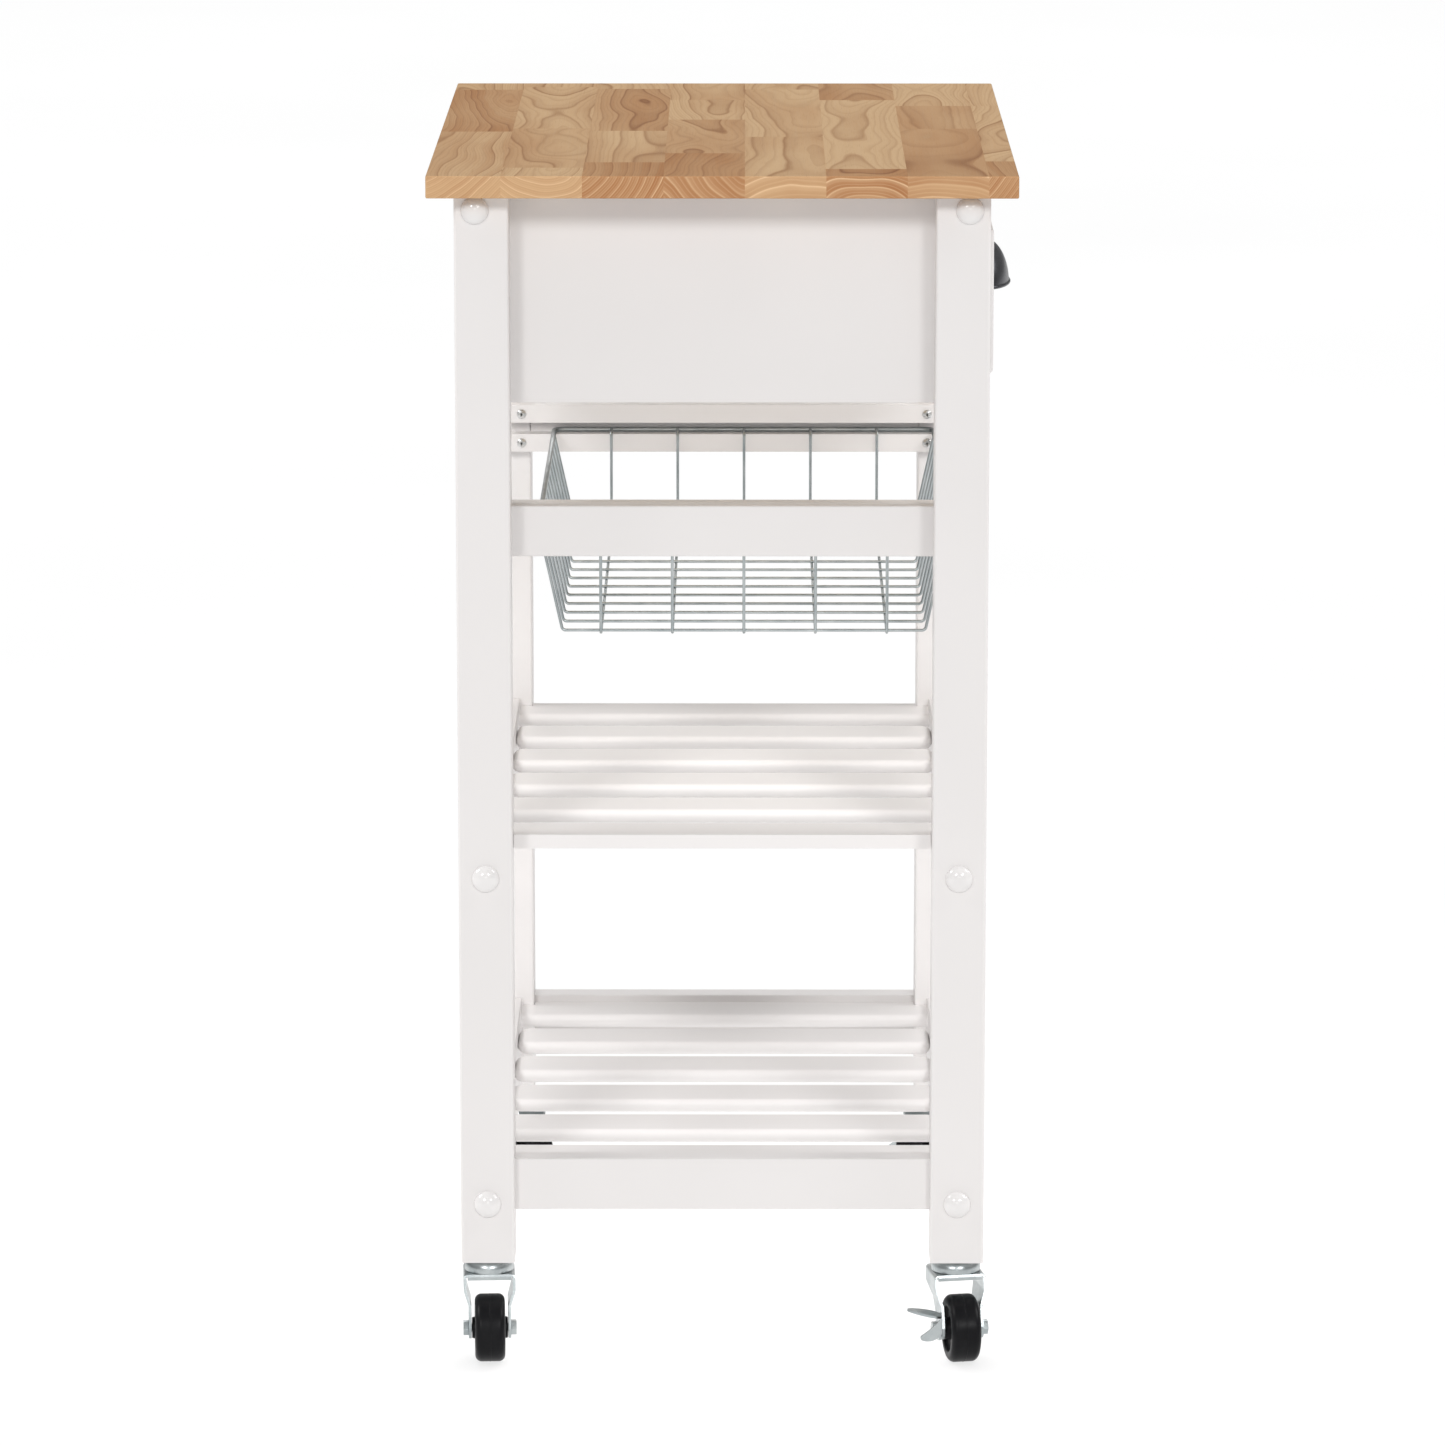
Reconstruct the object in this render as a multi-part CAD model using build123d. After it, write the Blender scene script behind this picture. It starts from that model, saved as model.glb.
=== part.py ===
"""A wheeled kitchen cart: butcher-block top, drawer, wire basket, two slatted shelves, casters.

Millimetres, +Z up. The origin is on the floor under the middle of the frame, +X runs along
the cart's length and the drawer opens towards -Y.
"""

from build123d import *
import math
import os

# Overall sizes
CART_HEIGHT = 876.0
TOP_LENGTH = 578.0
TOP_DEPTH = 420.0
TOP_THICKNESS = 16.0
TOP_EDGE_RADIUS = 1.0
TOP_CORNER_RADIUS = 1.5
END_OVERHANG = 20.0
SIDE_OVERHANG = 19.0

# Legs and the boards between them
LEG_SIDE = 39.0
LEG_EDGE_RADIUS = 2.0
BOARD_EDGE_RADIUS = 1.5
PANEL_THICKNESS = 13.0
PANEL_HEIGHT = 153.0
APRON_THICKNESS = 15.0
APRON_SHIFT = 4.5
FRONT_TOP_RAIL_HEIGHT = 28.0
FRONT_LOWER_RAIL_HEIGHT = 17.0
CROSS_RAIL_GAP = 75.5
CROSS_RAIL_HEIGHT = 37.0
RUNNER_SIDE = 14.0
RUNNER_END_GAP = 19.0
CLEAT_SIDE = 18.0
CLEAT_END_GAP = 28.5

# Shelves
RAIL_THICKNESS = 20.0
RAIL_HEIGHT = 64.0
MID_RAIL_TOP = 394.0
LOWER_RAIL_TOP = 150.0
END_RAIL_HEIGHT = 38.5
SLAT_COUNT = 6
SLAT_WIDTH = 50.0
END_SLAT_WIDTH = 44.5
SLAT_THICKNESS = 10.3
SLAT_DROP = 5.7
SLAT_CORNER_RADIUS = 6.0
TENON_WIDTH = 24.0
TENON_THICKNESS = 6.0
TENON_LENGTH = 8.0
WOOD_CLEARANCE = 0.15
NOTCH_CLEARANCE = 0.3

# Frame bolts, their caps and nuts, and the wood screws
BOLT_DIAMETER = 6.0
BOLT_REACH = 40.0
BOLT_HEAD_DIAMETER = 14.0
BOLT_HEAD_HEIGHT = 3.5
BOLT_SOCKET_WIDTH = 4.0
BOLT_SOCKET_DEPTH = 2.6
BOLT_CLEARANCE = 0.2
TOP_BOLT_DROP = 11.0
CAP_DIAMETER = 20.0
CAP_HEIGHT = 6.5
CAP_PLUG_DIAMETER = 3.4
CAP_PLUG_LENGTH = 2.0
NUT_DIAMETER = 10.0
NUT_LENGTH = 12.0
NUT_SETBACK = 30.0
SCREW_DIAMETER = 3.5
SCREW_HEAD_DIAMETER = 7.5
SCREW_HEAD_HEIGHT = 2.6
SCREW_FLAT_SHARE = 0.6
SCREW_GRIP = 16.0
CLEAT_SCREW_GRIP = 9.0
SCREW_END_MARGIN = 13.0
SCREW_CLEARANCE = 0.1

# Drawer
DRAWER_GAP = 2.0
DRAWER_SIDE_REVEAL = 1.5
DRAWER_PROUD = 3.7
DRAWER_FRONT_THICKNESS = 18.0
DRAWER_FRONT_RADIUS = 3.0
DRAWER_BACK_GAP = 25.0
DRAWER_WALL = 12.0
DRAWER_BOX_HEIGHT = 86.0
DRAWER_BOX_LIFT = 6.0
DRAWER_SIDE_GAP = 9.0
DRAWER_BOTTOM_THICKNESS = 4.0
DRAWER_BOTTOM_LIFT = 8.0
BOTTOM_GROOVE_DEPTH = 5.0
BOTTOM_GROOVE_SPARE = 0.5
GUIDE_HEIGHT = 14.0
GUIDE_LIFT = 36.0
GUIDE_GROOVE_DEPTH = 5.0
GUIDE_TIP_GAP = 1.0
RUN_GAP = 0.3
RUN_PLAY = 0.7

# Cup pull
PULL_WIDTH = 88.0
PULL_HEIGHT = 33.0
PULL_PROJECTION = 19.3
PULL_WALL = 2.2
PULL_LIP = 1.2
PULL_LIP_HEIGHT = 2.6
PULL_LIFT = 34.0
PULL_POST_DIAMETER = 7.0
PULL_POST_SPACING = 52.0
PULL_POST_LIFT = 16.0
PULL_SCREW_DIAMETER = 4.0
PULL_SCREW_HEAD_DIAMETER = 8.0
PULL_SCREW_HEAD_HEIGHT = 2.8
PULL_SCREW_GRIP = 7.0

# Wire basket
BASKET_SHIFT = -15.5
BASKET_WIDTH = 302.0
BASKET_DEPTH = 77.0
BASKET_SIDE_SLOPE = 19.0
BASKET_END_SLOPE = 17.0
RIM_WIRE = 4.0
RIM_CORNER_RADIUS = 8.0
RIM_SIDE_GAP = 2.0
WIRE = 2.2
WIRE_BEND_RADIUS = 6.0
SHOULDER_BEND_RADIUS = 4.0
SHOULDER_GAP = 1.0
WELD_SINK = 0.25
CROSS_WIRE_COUNT = 13
CROSS_WIRE_MARGIN = 1.0
LONG_WIRE_COUNT = 5
LONG_WIRE_MARGIN = 28.0

# Casters
CASTER_HEIGHT = 73.5
WHEEL_DIAMETER = 50.0
WHEEL_WIDTH = 22.0
WHEEL_SHOULDER_RADIUS = 5.0
WHEEL_RIM_DEPTH = 8.0
WHEEL_DISH = 3.0
HUB_DIAMETER = 16.0
FORK_SIDE_GAP = 0.3
TRAIL = 21.0
AXLE_DIAMETER = 6.0
RUNNING_CLEARANCE = 0.05
FORK_SHEET = 2.0
FORK_INNER_WIDTH = 27.0
FORK_TOP_WIDTH = 38.0
FORK_CROWN_LENGTH = 34.0
FORK_CROWN_DROP = 12.0
FORK_FLARE_DROP = 17.0
FORK_FLARE_HEIGHT = 10.5
FORK_BEND_RADIUS = 3.0
FORK_LIP = 2.5
FORK_FOOT_RADIUS = 8.0
RACE_DIAMETER = 36.0
RACE_TOP_DIAMETER = 27.0
RACE_HEIGHT = 9.2
RACE_RIM_HEIGHT = 2.4
RACE_BULGE = 1.2
SWIVEL_GAP = 0.3
KINGPIN_DIAMETER = 8.0
KINGPIN_HEAD_DIAMETER = 14.0
KINGPIN_HEAD_HEIGHT = 3.0
STEM_LENGTH = 30.0
STEM_HOLE_SPARE = 3.0
INSERT_DIAMETER = 12.0
INSERT_LENGTH = 18.0
HEX_WIDTH = 10.0
HEX_HEIGHT = 4.0

# Brake lever on the front casters
LEVER_SHEET = 1.8
LEVER_GAP = 0.3
LEVER_HUB_RADIUS = 8.5
LEVER_RISE = 11.0
UPPER_WING_ROOT = 10.0
UPPER_WING_LENGTH = 25.0
UPPER_WING_WIDTH = 15.0
UPPER_WING_TILT = 13.0
LOWER_WING_LENGTH = 18.0
LOWER_WING_ROOT_DROP = 1.5
LOWER_WING_TIP_DROP = 4.0
LOWER_WING_TIP_RADIUS = 2.0
LOWER_WING_HOLLOW = 1.2
LOWER_WING_BELLY = 4.0

# Direction in which each caster trails at rest, in degrees from +X
CASTER_TURNS = {
    "front_left": 190.0,
    "back_left": 183.0,
    "front_right": 143.0,
    "back_right": 217.0,
}
CORNERS = {
    "front_left": (-1, -1),
    "back_left": (-1, 1),
    "front_right": (1, -1),
    "back_right": (1, 1),
}
ENDS = {"left": -1, "right": 1}
LONG_SIDES = {"front": -1, "back": 1}
BRAKED = ("front_left", "front_right")

# Places worked out from the sizes
TOP_UNDERSIDE = CART_HEIGHT - TOP_THICKNESS
LEG_OUTER_X = TOP_LENGTH / 2 - END_OVERHANG
LEG_OUTER_Y = TOP_DEPTH / 2 - SIDE_OVERHANG
LEG_INNER_X = LEG_OUTER_X - LEG_SIDE
LEG_INNER_Y = LEG_OUTER_Y - LEG_SIDE
LEG_X = LEG_OUTER_X - LEG_SIDE / 2
LEG_Y = LEG_OUTER_Y - LEG_SIDE / 2
PANEL_OUTER_X = LEG_INNER_X + PANEL_THICKNESS
PANEL_BOTTOM = TOP_UNDERSIDE - PANEL_HEIGHT
APRON_Y = LEG_Y + APRON_SHIFT
APRON_INNER_Y = APRON_Y - APRON_THICKNESS / 2
CLEAT_LENGTH = 2 * (APRON_INNER_Y - CLEAT_END_GAP)
RAIL_INNER_Y = LEG_Y - RAIL_THICKNESS / 2
END_RAIL_INNER_X = LEG_X - RAIL_THICKNESS / 2
CROSS_RAIL_TOP = PANEL_BOTTOM - CROSS_RAIL_GAP
CROSS_RAIL_BOTTOM = CROSS_RAIL_TOP - CROSS_RAIL_HEIGHT
GROOVE_FLOOR = CROSS_RAIL_BOTTOM + RUNNER_SIDE
RUNNER_LENGTH = 2 * (LEG_OUTER_Y - RUNNER_END_GAP)

SLAT_SPAN = 2 * (END_RAIL_INNER_X - END_SLAT_WIDTH)
SLAT_GAP = (SLAT_SPAN - (SLAT_COUNT - 2) * SLAT_WIDTH) / (SLAT_COUNT - 1)
SLAT_PITCH = SLAT_GAP + SLAT_WIDTH
SLAT_LENGTH = 2 * RAIL_INNER_Y
TENON_Z = -SLAT_DROP - SLAT_THICKNESS / 2

TOP_BOLT_Z = TOP_UNDERSIDE - TOP_BOLT_DROP
MID_BOLT_Z = MID_RAIL_TOP - RAIL_HEIGHT / 2
LOWER_BOLT_Z = LOWER_RAIL_TOP - RAIL_HEIGHT / 2
BOLT_LINES = ((APRON_Y, TOP_BOLT_Z), (LEG_Y, MID_BOLT_Z), (LEG_Y, LOWER_BOLT_Z))
HEAD_RECESS = BOLT_HEAD_HEIGHT + BOLT_CLEARANCE
BOLT_TIP_X = LEG_INNER_X - BOLT_REACH
NUT_X = LEG_INNER_X - NUT_SETBACK

DRAWER_FRONT_Y = -(LEG_OUTER_Y + DRAWER_PROUD)
DRAWER_BOX_FRONT_Y = DRAWER_FRONT_Y + DRAWER_FRONT_THICKNESS
DRAWER_BACK_Y = APRON_INNER_Y - DRAWER_BACK_GAP
DRAWER_FRONT_LOW_Z = PANEL_BOTTOM + FRONT_LOWER_RAIL_HEIGHT + DRAWER_GAP
DRAWER_FRONT_HIGH_Z = TOP_UNDERSIDE - FRONT_TOP_RAIL_HEIGHT - DRAWER_GAP
DRAWER_BOX_LOW_Z = PANEL_BOTTOM + FRONT_LOWER_RAIL_HEIGHT + DRAWER_BOX_LIFT
DRAWER_BOX_HIGH_Z = DRAWER_BOX_LOW_Z + DRAWER_BOX_HEIGHT
DRAWER_BOX_X = LEG_INNER_X - DRAWER_SIDE_GAP
DRAWER_INSIDE_X = DRAWER_BOX_X - DRAWER_WALL
BOTTOM_LOW_Z = DRAWER_BOX_LOW_Z + DRAWER_BOTTOM_LIFT
BOTTOM_HIGH_Z = BOTTOM_LOW_Z + DRAWER_BOTTOM_THICKNESS
GUIDE_LOW_Z = DRAWER_BOX_LOW_Z + GUIDE_LIFT
GUIDE_HIGH_Z = GUIDE_LOW_Z + GUIDE_HEIGHT
GUIDE_TIP_X = DRAWER_BOX_X - GUIDE_GROOVE_DEPTH + GUIDE_TIP_GAP
PULL_LOW_Z = DRAWER_FRONT_LOW_Z + PULL_LIFT
PULL_POST_Z = PULL_LOW_Z + PULL_POST_LIFT

SCREW_Y = RUNNER_LENGTH / 2 - SCREW_END_MARGIN
CLEAT_SCREW_Y = CLEAT_LENGTH / 2 - SCREW_END_MARGIN
LEG_SCREW_HEIGHTS = {
    "lower_runner": (CROSS_RAIL_BOTTOM + RUNNER_SIDE / 2, LEG_INNER_X - RUNNER_SIDE),
    "upper_runner": (CROSS_RAIL_TOP - RUNNER_SIDE / 2, LEG_INNER_X - RUNNER_SIDE),
    "drawer_guide": (GUIDE_LOW_Z + GUIDE_HEIGHT / 2, GUIDE_TIP_X),
}

RIM_Z = GROOVE_FLOOR + RUN_GAP + RIM_WIRE / 2
RIM_X = LEG_INNER_X - RIM_SIDE_GAP - RIM_WIRE / 2
RIM_Y = BASKET_WIDTH / 2 - RIM_WIRE / 2
FLOOR_Z = RIM_Z - BASKET_DEPTH
BASKET_FLOOR_LENGTH = 2 * (RIM_X - BASKET_END_SLOPE)
BASKET_FLOOR_WIDTH = BASKET_WIDTH - 2 * BASKET_SIDE_SLOPE
CROSS_WIRE_PITCH = (BASKET_FLOOR_LENGTH - 2 * CROSS_WIRE_MARGIN) / (CROSS_WIRE_COUNT - 1)
LONG_WIRE_PITCH = (BASKET_FLOOR_WIDTH - 2 * LONG_WIRE_MARGIN) / (LONG_WIRE_COUNT - 1)
SHOULDER_X = LEG_INNER_X - RUNNER_SIDE - SCREW_HEAD_HEIGHT - SHOULDER_GAP - WIRE / 2

AXLE_Z = WHEEL_DIAMETER / 2
HUB_HALF_WIDTH = FORK_INNER_WIDTH / 2 - FORK_SIDE_GAP
FORK_OUTER_Y = FORK_INNER_WIDTH / 2 + FORK_SHEET
RACE_LOW_Z = CASTER_HEIGHT - RACE_HEIGHT
CROWN_TOP_Z = RACE_LOW_Z - SWIVEL_GAP
CROWN_LOW_Z = CROWN_TOP_Z - FORK_SHEET
LEVER_NEAR_Y = FORK_OUTER_Y + LEVER_GAP
LEVER_FAR_Y = LEVER_NEAR_Y + LEVER_SHEET


def block(x_range, y_range, z_range):
    """A box between two corners, given as ranges along each axis in any order."""
    spans = [sorted(pair) for pair in (x_range, y_range, z_range)]
    middle = [(low + high) / 2 for low, high in spans]
    size = [high - low for low, high in spans]
    return Pos(*middle) * Box(*size)


def rod_x(x_range, y, z, diameter):
    """A cylinder along X."""
    low, high = sorted(x_range)
    return Pos((low + high) / 2, y, z) * Rot(0, 90, 0) * Cylinder(diameter / 2, high - low)


def rod_y(x, y_range, z, diameter):
    """A cylinder along Y."""
    low, high = sorted(y_range)
    return Pos(x, (low + high) / 2, z) * Rot(90, 0, 0) * Cylinder(diameter / 2, high - low)


def rod_z(x, y, z_range, diameter):
    """A cylinder along Z."""
    low, high = sorted(z_range)
    return Pos(x, y, (low + high) / 2) * Cylinder(diameter / 2, high - low)


def eased(board, axis, radius=BOARD_EDGE_RADIUS):
    """A board with the edges along one axis rounded over."""
    return fillet(board.edges().filter_by(axis), radius)


def turned(points, axis=Axis.Z):
    """A solid of revolution from a closed profile in the XZ plane, radius first."""
    outline = Plane.XZ * make_face(Polyline(*points, close=True))
    return revolve(outline, axis)


def table_top():
    """The glued butcher-block top, with softly rounded corners and edges."""
    outline = RectangleRounded(TOP_LENGTH, TOP_DEPTH, TOP_CORNER_RADIUS)
    slab = Pos(0, 0, TOP_UNDERSIDE) * extrude(outline, TOP_THICKNESS)
    rims = slab.edges().group_by(Axis.Z)[0] + slab.edges().group_by(Axis.Z)[-1]
    slab = fillet(rims, TOP_EDGE_RADIUS)
    for end in ENDS.values():
        for side in LONG_SIDES.values():
            slab -= rod_z(
                end * (LEG_INNER_X - CLEAT_SIDE / 2),
                side * CLEAT_SCREW_Y,
                (TOP_UNDERSIDE - TOP_EDGE_RADIUS, TOP_UNDERSIDE + CLEAT_SCREW_GRIP + SCREW_CLEARANCE),
                SCREW_DIAMETER + 2 * SCREW_CLEARANCE,
            )
    return slab


def top_cleats():
    """Strips inside the end panels that the top is screwed to from below."""
    cleats = []
    for end in ENDS.values():
        cleat = block(
            (end * LEG_INNER_X, end * (LEG_INNER_X - CLEAT_SIDE)),
            (-CLEAT_LENGTH / 2, CLEAT_LENGTH / 2),
            (TOP_UNDERSIDE - CLEAT_SIDE, TOP_UNDERSIDE),
        )
        for side in LONG_SIDES.values():
            cleat -= rod_z(
                end * (LEG_INNER_X - CLEAT_SIDE / 2),
                side * CLEAT_SCREW_Y,
                (TOP_UNDERSIDE - CLEAT_SIDE, TOP_UNDERSIDE),
                SCREW_DIAMETER + 2 * SCREW_CLEARANCE,
            )
        cleats.append(cleat)
    return cleats


def leg(end, side):
    """A square leg, bored for the frame bolts, the strip screws and the caster's insert."""
    post = block(
        (end * LEG_INNER_X, end * LEG_OUTER_X),
        (side * LEG_INNER_Y, side * LEG_OUTER_Y),
        (CASTER_HEIGHT, TOP_UNDERSIDE),
    )
    post = eased(post, Axis.Z, LEG_EDGE_RADIUS)
    for bolt_y, bolt_z in BOLT_LINES:
        hole = BOLT_DIAMETER + 2 * BOLT_CLEARANCE
        head = BOLT_HEAD_DIAMETER + 2 * BOLT_CLEARANCE
        post -= rod_x((end * LEG_INNER_X, end * LEG_OUTER_X), side * bolt_y, bolt_z, hole)
        recess = (end * (LEG_OUTER_X - HEAD_RECESS), end * LEG_OUTER_X)
        post -= rod_x(recess, side * bolt_y, bolt_z, head)
    for screw_z, _ in LEG_SCREW_HEIGHTS.values():
        tip = end * (LEG_INNER_X + SCREW_GRIP + SCREW_CLEARANCE)
        hole = SCREW_DIAMETER + 2 * SCREW_CLEARANCE
        post -= rod_x((end * LEG_INNER_X, tip), side * SCREW_Y, screw_z, hole)
    insert_hole = INSERT_DIAMETER + 2 * RUNNING_CLEARANCE
    stem_hole = KINGPIN_DIAMETER + 2 * BOLT_CLEARANCE
    foot = (end * LEG_X, side * LEG_Y)
    post -= rod_z(*foot, (CASTER_HEIGHT, CASTER_HEIGHT + INSERT_LENGTH), insert_hole)
    stem_end = CASTER_HEIGHT + STEM_LENGTH + STEM_HOLE_SPARE
    return post - rod_z(*foot, (CASTER_HEIGHT, stem_end), stem_hole)


def end_panel(end):
    """The recessed panel that closes the drawer case at one end."""
    return block(
        (end * LEG_INNER_X, end * PANEL_OUTER_X),
        (-LEG_INNER_Y, LEG_INNER_Y),
        (PANEL_BOTTOM, TOP_UNDERSIDE),
    )


def cross_rail(end):
    """The rail between the legs of one end that covers the basket's runners."""
    rail = block(
        (end * LEG_INNER_X, end * PANEL_OUTER_X),
        (-LEG_INNER_Y, LEG_INNER_Y),
        (CROSS_RAIL_BOTTOM, CROSS_RAIL_TOP),
    )
    return eased(rail, Axis.Y)


def apron(side, z_range, bolted):
    """A board between the legs of one long side, bolted through the legs if it is tall enough."""
    board = block(
        (-LEG_INNER_X, LEG_INNER_X),
        (side * APRON_INNER_Y, side * (APRON_Y + APRON_THICKNESS / 2)),
        z_range,
    )
    board = eased(board, Axis.X)
    return bored_for_bolts(board, side * APRON_Y, TOP_BOLT_Z) if bolted else board


def bored_for_bolts(board, bolt_y, bolt_z):
    """A board with bolt holes in both ends and a cross hole for each barrel nut."""
    inner_face = bolt_y - math.copysign(TOP_DEPTH, bolt_y)
    nut_end = bolt_y + math.copysign(NUT_LENGTH / 2, bolt_y)
    for end in ENDS.values():
        hole = BOLT_DIAMETER + 2 * BOLT_CLEARANCE
        tip = end * (BOLT_TIP_X - BOLT_CLEARANCE)
        board -= rod_x((end * LEG_INNER_X, tip), bolt_y, bolt_z, hole)
        nut_hole = NUT_DIAMETER + 2 * RUNNING_CLEARANCE
        board -= rod_y(end * NUT_X, (inner_face, nut_end), bolt_z, nut_hole)
    return board


def runner(end, z_low):
    """One of the two strips at an end that the basket's rim slides between."""
    strip = block(
        (end * LEG_INNER_X, end * (LEG_INNER_X - RUNNER_SIDE)),
        (-RUNNER_LENGTH / 2, RUNNER_LENGTH / 2),
        (z_low, z_low + RUNNER_SIDE),
    )
    return bored_for_screws(strip, end, z_low + RUNNER_SIDE / 2)


def drawer_guide(end):
    """The strip that one side of the drawer slides on."""
    strip = block(
        (end * LEG_INNER_X, end * GUIDE_TIP_X),
        (-RUNNER_LENGTH / 2, APRON_INNER_Y),
        (GUIDE_LOW_Z, GUIDE_HIGH_Z),
    )
    strip = bored_for_screws(strip, end, GUIDE_LOW_Z + GUIDE_HEIGHT / 2)
    for side in LONG_SIDES.values():
        tip = end * (GUIDE_TIP_X + SCREW_HEAD_HEIGHT)
        head = SCREW_HEAD_DIAMETER + 2 * SCREW_CLEARANCE
        strip -= rod_x((end * GUIDE_TIP_X, tip), side * SCREW_Y, GUIDE_LOW_Z + GUIDE_HEIGHT / 2, head)
    return strip


def bored_for_screws(strip, end, screw_z):
    """A strip with a screw hole near each end."""
    for side in LONG_SIDES.values():
        hole = SCREW_DIAMETER + 2 * SCREW_CLEARANCE
        strip -= rod_x((0, end * LEG_INNER_X), side * SCREW_Y, screw_z, hole)
    return strip


def slat_middles():
    """Middles of the slats along X, with the width that each tenon is centred on."""
    edge = END_RAIL_INNER_X - END_SLAT_WIDTH
    first = -edge + SLAT_PITCH - SLAT_WIDTH / 2
    inner = [first + index * SLAT_PITCH for index in range(SLAT_COUNT - 2)]
    end_middle = (edge + LEG_INNER_X) / 2
    return [-end_middle] + inner + [end_middle]


def long_rail(side, top_z):
    """A shelf rail along the cart, with a mortise for each slat."""
    rail = block(
        (-LEG_INNER_X, LEG_INNER_X),
        (side * RAIL_INNER_Y, side * (RAIL_INNER_Y + RAIL_THICKNESS)),
        (top_z - RAIL_HEIGHT, top_z),
    )
    rail = eased(rail, Axis.X)
    for x in slat_middles():
        rail -= block(
            (x - TENON_WIDTH / 2 - WOOD_CLEARANCE, x + TENON_WIDTH / 2 + WOOD_CLEARANCE),
            (side * RAIL_INNER_Y, side * (RAIL_INNER_Y + TENON_LENGTH + WOOD_CLEARANCE)),
            (
                top_z + TENON_Z - TENON_THICKNESS / 2 - WOOD_CLEARANCE,
                top_z + TENON_Z + TENON_THICKNESS / 2 + WOOD_CLEARANCE,
            ),
        )
    return bored_for_bolts(rail, side * LEG_Y, top_z - RAIL_HEIGHT / 2)


def end_rail(end):
    """The rail between the legs of one end that frames the lower shelf."""
    rail = block(
        (end * END_RAIL_INNER_X, end * (END_RAIL_INNER_X + RAIL_THICKNESS)),
        (-LEG_INNER_Y, LEG_INNER_Y),
        (LOWER_RAIL_TOP - END_RAIL_HEIGHT, LOWER_RAIL_TOP),
    )
    return eased(rail, Axis.Y)


def tenons(x, z):
    """The two tenons of a slat whose middle line is at this height."""
    return block(
        (x - TENON_WIDTH / 2, x + TENON_WIDTH / 2),
        (-SLAT_LENGTH / 2 - TENON_LENGTH, SLAT_LENGTH / 2 + TENON_LENGTH),
        (z - TENON_THICKNESS / 2, z + TENON_THICKNESS / 2),
    )


def bullnose_slat(x, z):
    """A shelf slat with fully rounded long edges and rounded corners in plan."""
    profile = Plane.XZ * SlotOverall(SLAT_WIDTH, SLAT_THICKNESS)
    bar = extrude(profile, SLAT_LENGTH / 2, both=True)
    plan = RectangleRounded(SLAT_WIDTH, SLAT_LENGTH, SLAT_CORNER_RADIUS)
    bar = bar & extrude(plan, SLAT_THICKNESS, both=True)
    return Pos(x, 0, z) * bar + tenons(x, z)


def end_slat(end, z):
    """The outermost slat: square outside, bullnosed inside, notched round the legs."""
    nose = SLAT_THICKNESS / 2
    inner = END_RAIL_INNER_X - END_SLAT_WIDTH
    bar = block(
        (end * (inner + nose), end * END_RAIL_INNER_X),
        (-SLAT_LENGTH / 2, SLAT_LENGTH / 2),
        (z - nose, z + nose),
    )
    bar += rod_y(end * (inner + nose), (-SLAT_LENGTH / 2, SLAT_LENGTH / 2), z, SLAT_THICKNESS)
    for side in LONG_SIDES.values():
        bar -= block(
            (end * (LEG_INNER_X - NOTCH_CLEARANCE), end * LEG_OUTER_X),
            (side * (LEG_INNER_Y - NOTCH_CLEARANCE), side * LEG_OUTER_Y),
            (z - SLAT_THICKNESS, z + SLAT_THICKNESS),
        )
    return bar + tenons(end * (inner + LEG_INNER_X) / 2, z)


def shelf_slats(rail_top):
    """All the slats of one shelf."""
    z = rail_top + TENON_Z
    inner = [bullnose_slat(x, z) for x in slat_middles()[1:-1]]
    return [end_slat(-1, z)] + inner + [end_slat(1, z)]


def bolt_places():
    """End, Y and Z of each frame bolt."""
    for end in ENDS.values():
        for side in LONG_SIDES.values():
            for bolt_y, bolt_z in BOLT_LINES:
                yield end, side * bolt_y, bolt_z


def frame_bolts():
    """Connecting bolts through the legs, with a hexagon socket in each head."""
    bolts = []
    for end, y, z in bolt_places():
        head_x = LEG_OUTER_X - HEAD_RECESS
        bolt = rod_x((end * head_x, end * BOLT_TIP_X), y, z, BOLT_DIAMETER)
        bolt += rod_x((end * head_x, end * (head_x + BOLT_HEAD_HEIGHT)), y, z, BOLT_HEAD_DIAMETER)
        socket = extrude(RegularPolygon(BOLT_SOCKET_WIDTH / 2, 6, major_radius=False), BOLT_SOCKET_DEPTH)
        mouth = Pos(end * (head_x + BOLT_HEAD_HEIGHT), y, z) * Rot(0, -90 * end, 0)
        bolts.append(bolt - mouth * socket)
    return bolts


def bolt_caps():
    """Domed caps over the bolt heads, each with a plug that pushes into the socket."""
    rim = CAP_DIAMETER / 2
    ball = (rim**2 + CAP_HEIGHT**2) / (2 * CAP_HEIGHT)
    dome = Pos(0, 0, CAP_HEIGHT - ball) * Sphere(ball)
    dome &= block((-rim, rim), (-rim, rim), (0, CAP_HEIGHT))
    plug_length = CAP_PLUG_LENGTH + BOLT_CLEARANCE
    dome += rod_z(0, 0, (-plug_length, 0), CAP_PLUG_DIAMETER)
    return [Pos(end * LEG_OUTER_X, y, z) * Rot(0, 90 * end, 0) * dome for end, y, z in bolt_places()]


def barrel_nuts():
    """Cross dowels in the rails that the frame bolts pull on."""
    nuts = []
    for end, y, z in bolt_places():
        nut = rod_y(end * NUT_X, (y - NUT_LENGTH / 2, y + NUT_LENGTH / 2), z, NUT_DIAMETER)
        hole = BOLT_DIAMETER + 2 * RUNNING_CLEARANCE
        nuts.append(nut - rod_x((end * (NUT_X - NUT_DIAMETER), end * (NUT_X + NUT_DIAMETER)), y, z, hole))
    return nuts


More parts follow.
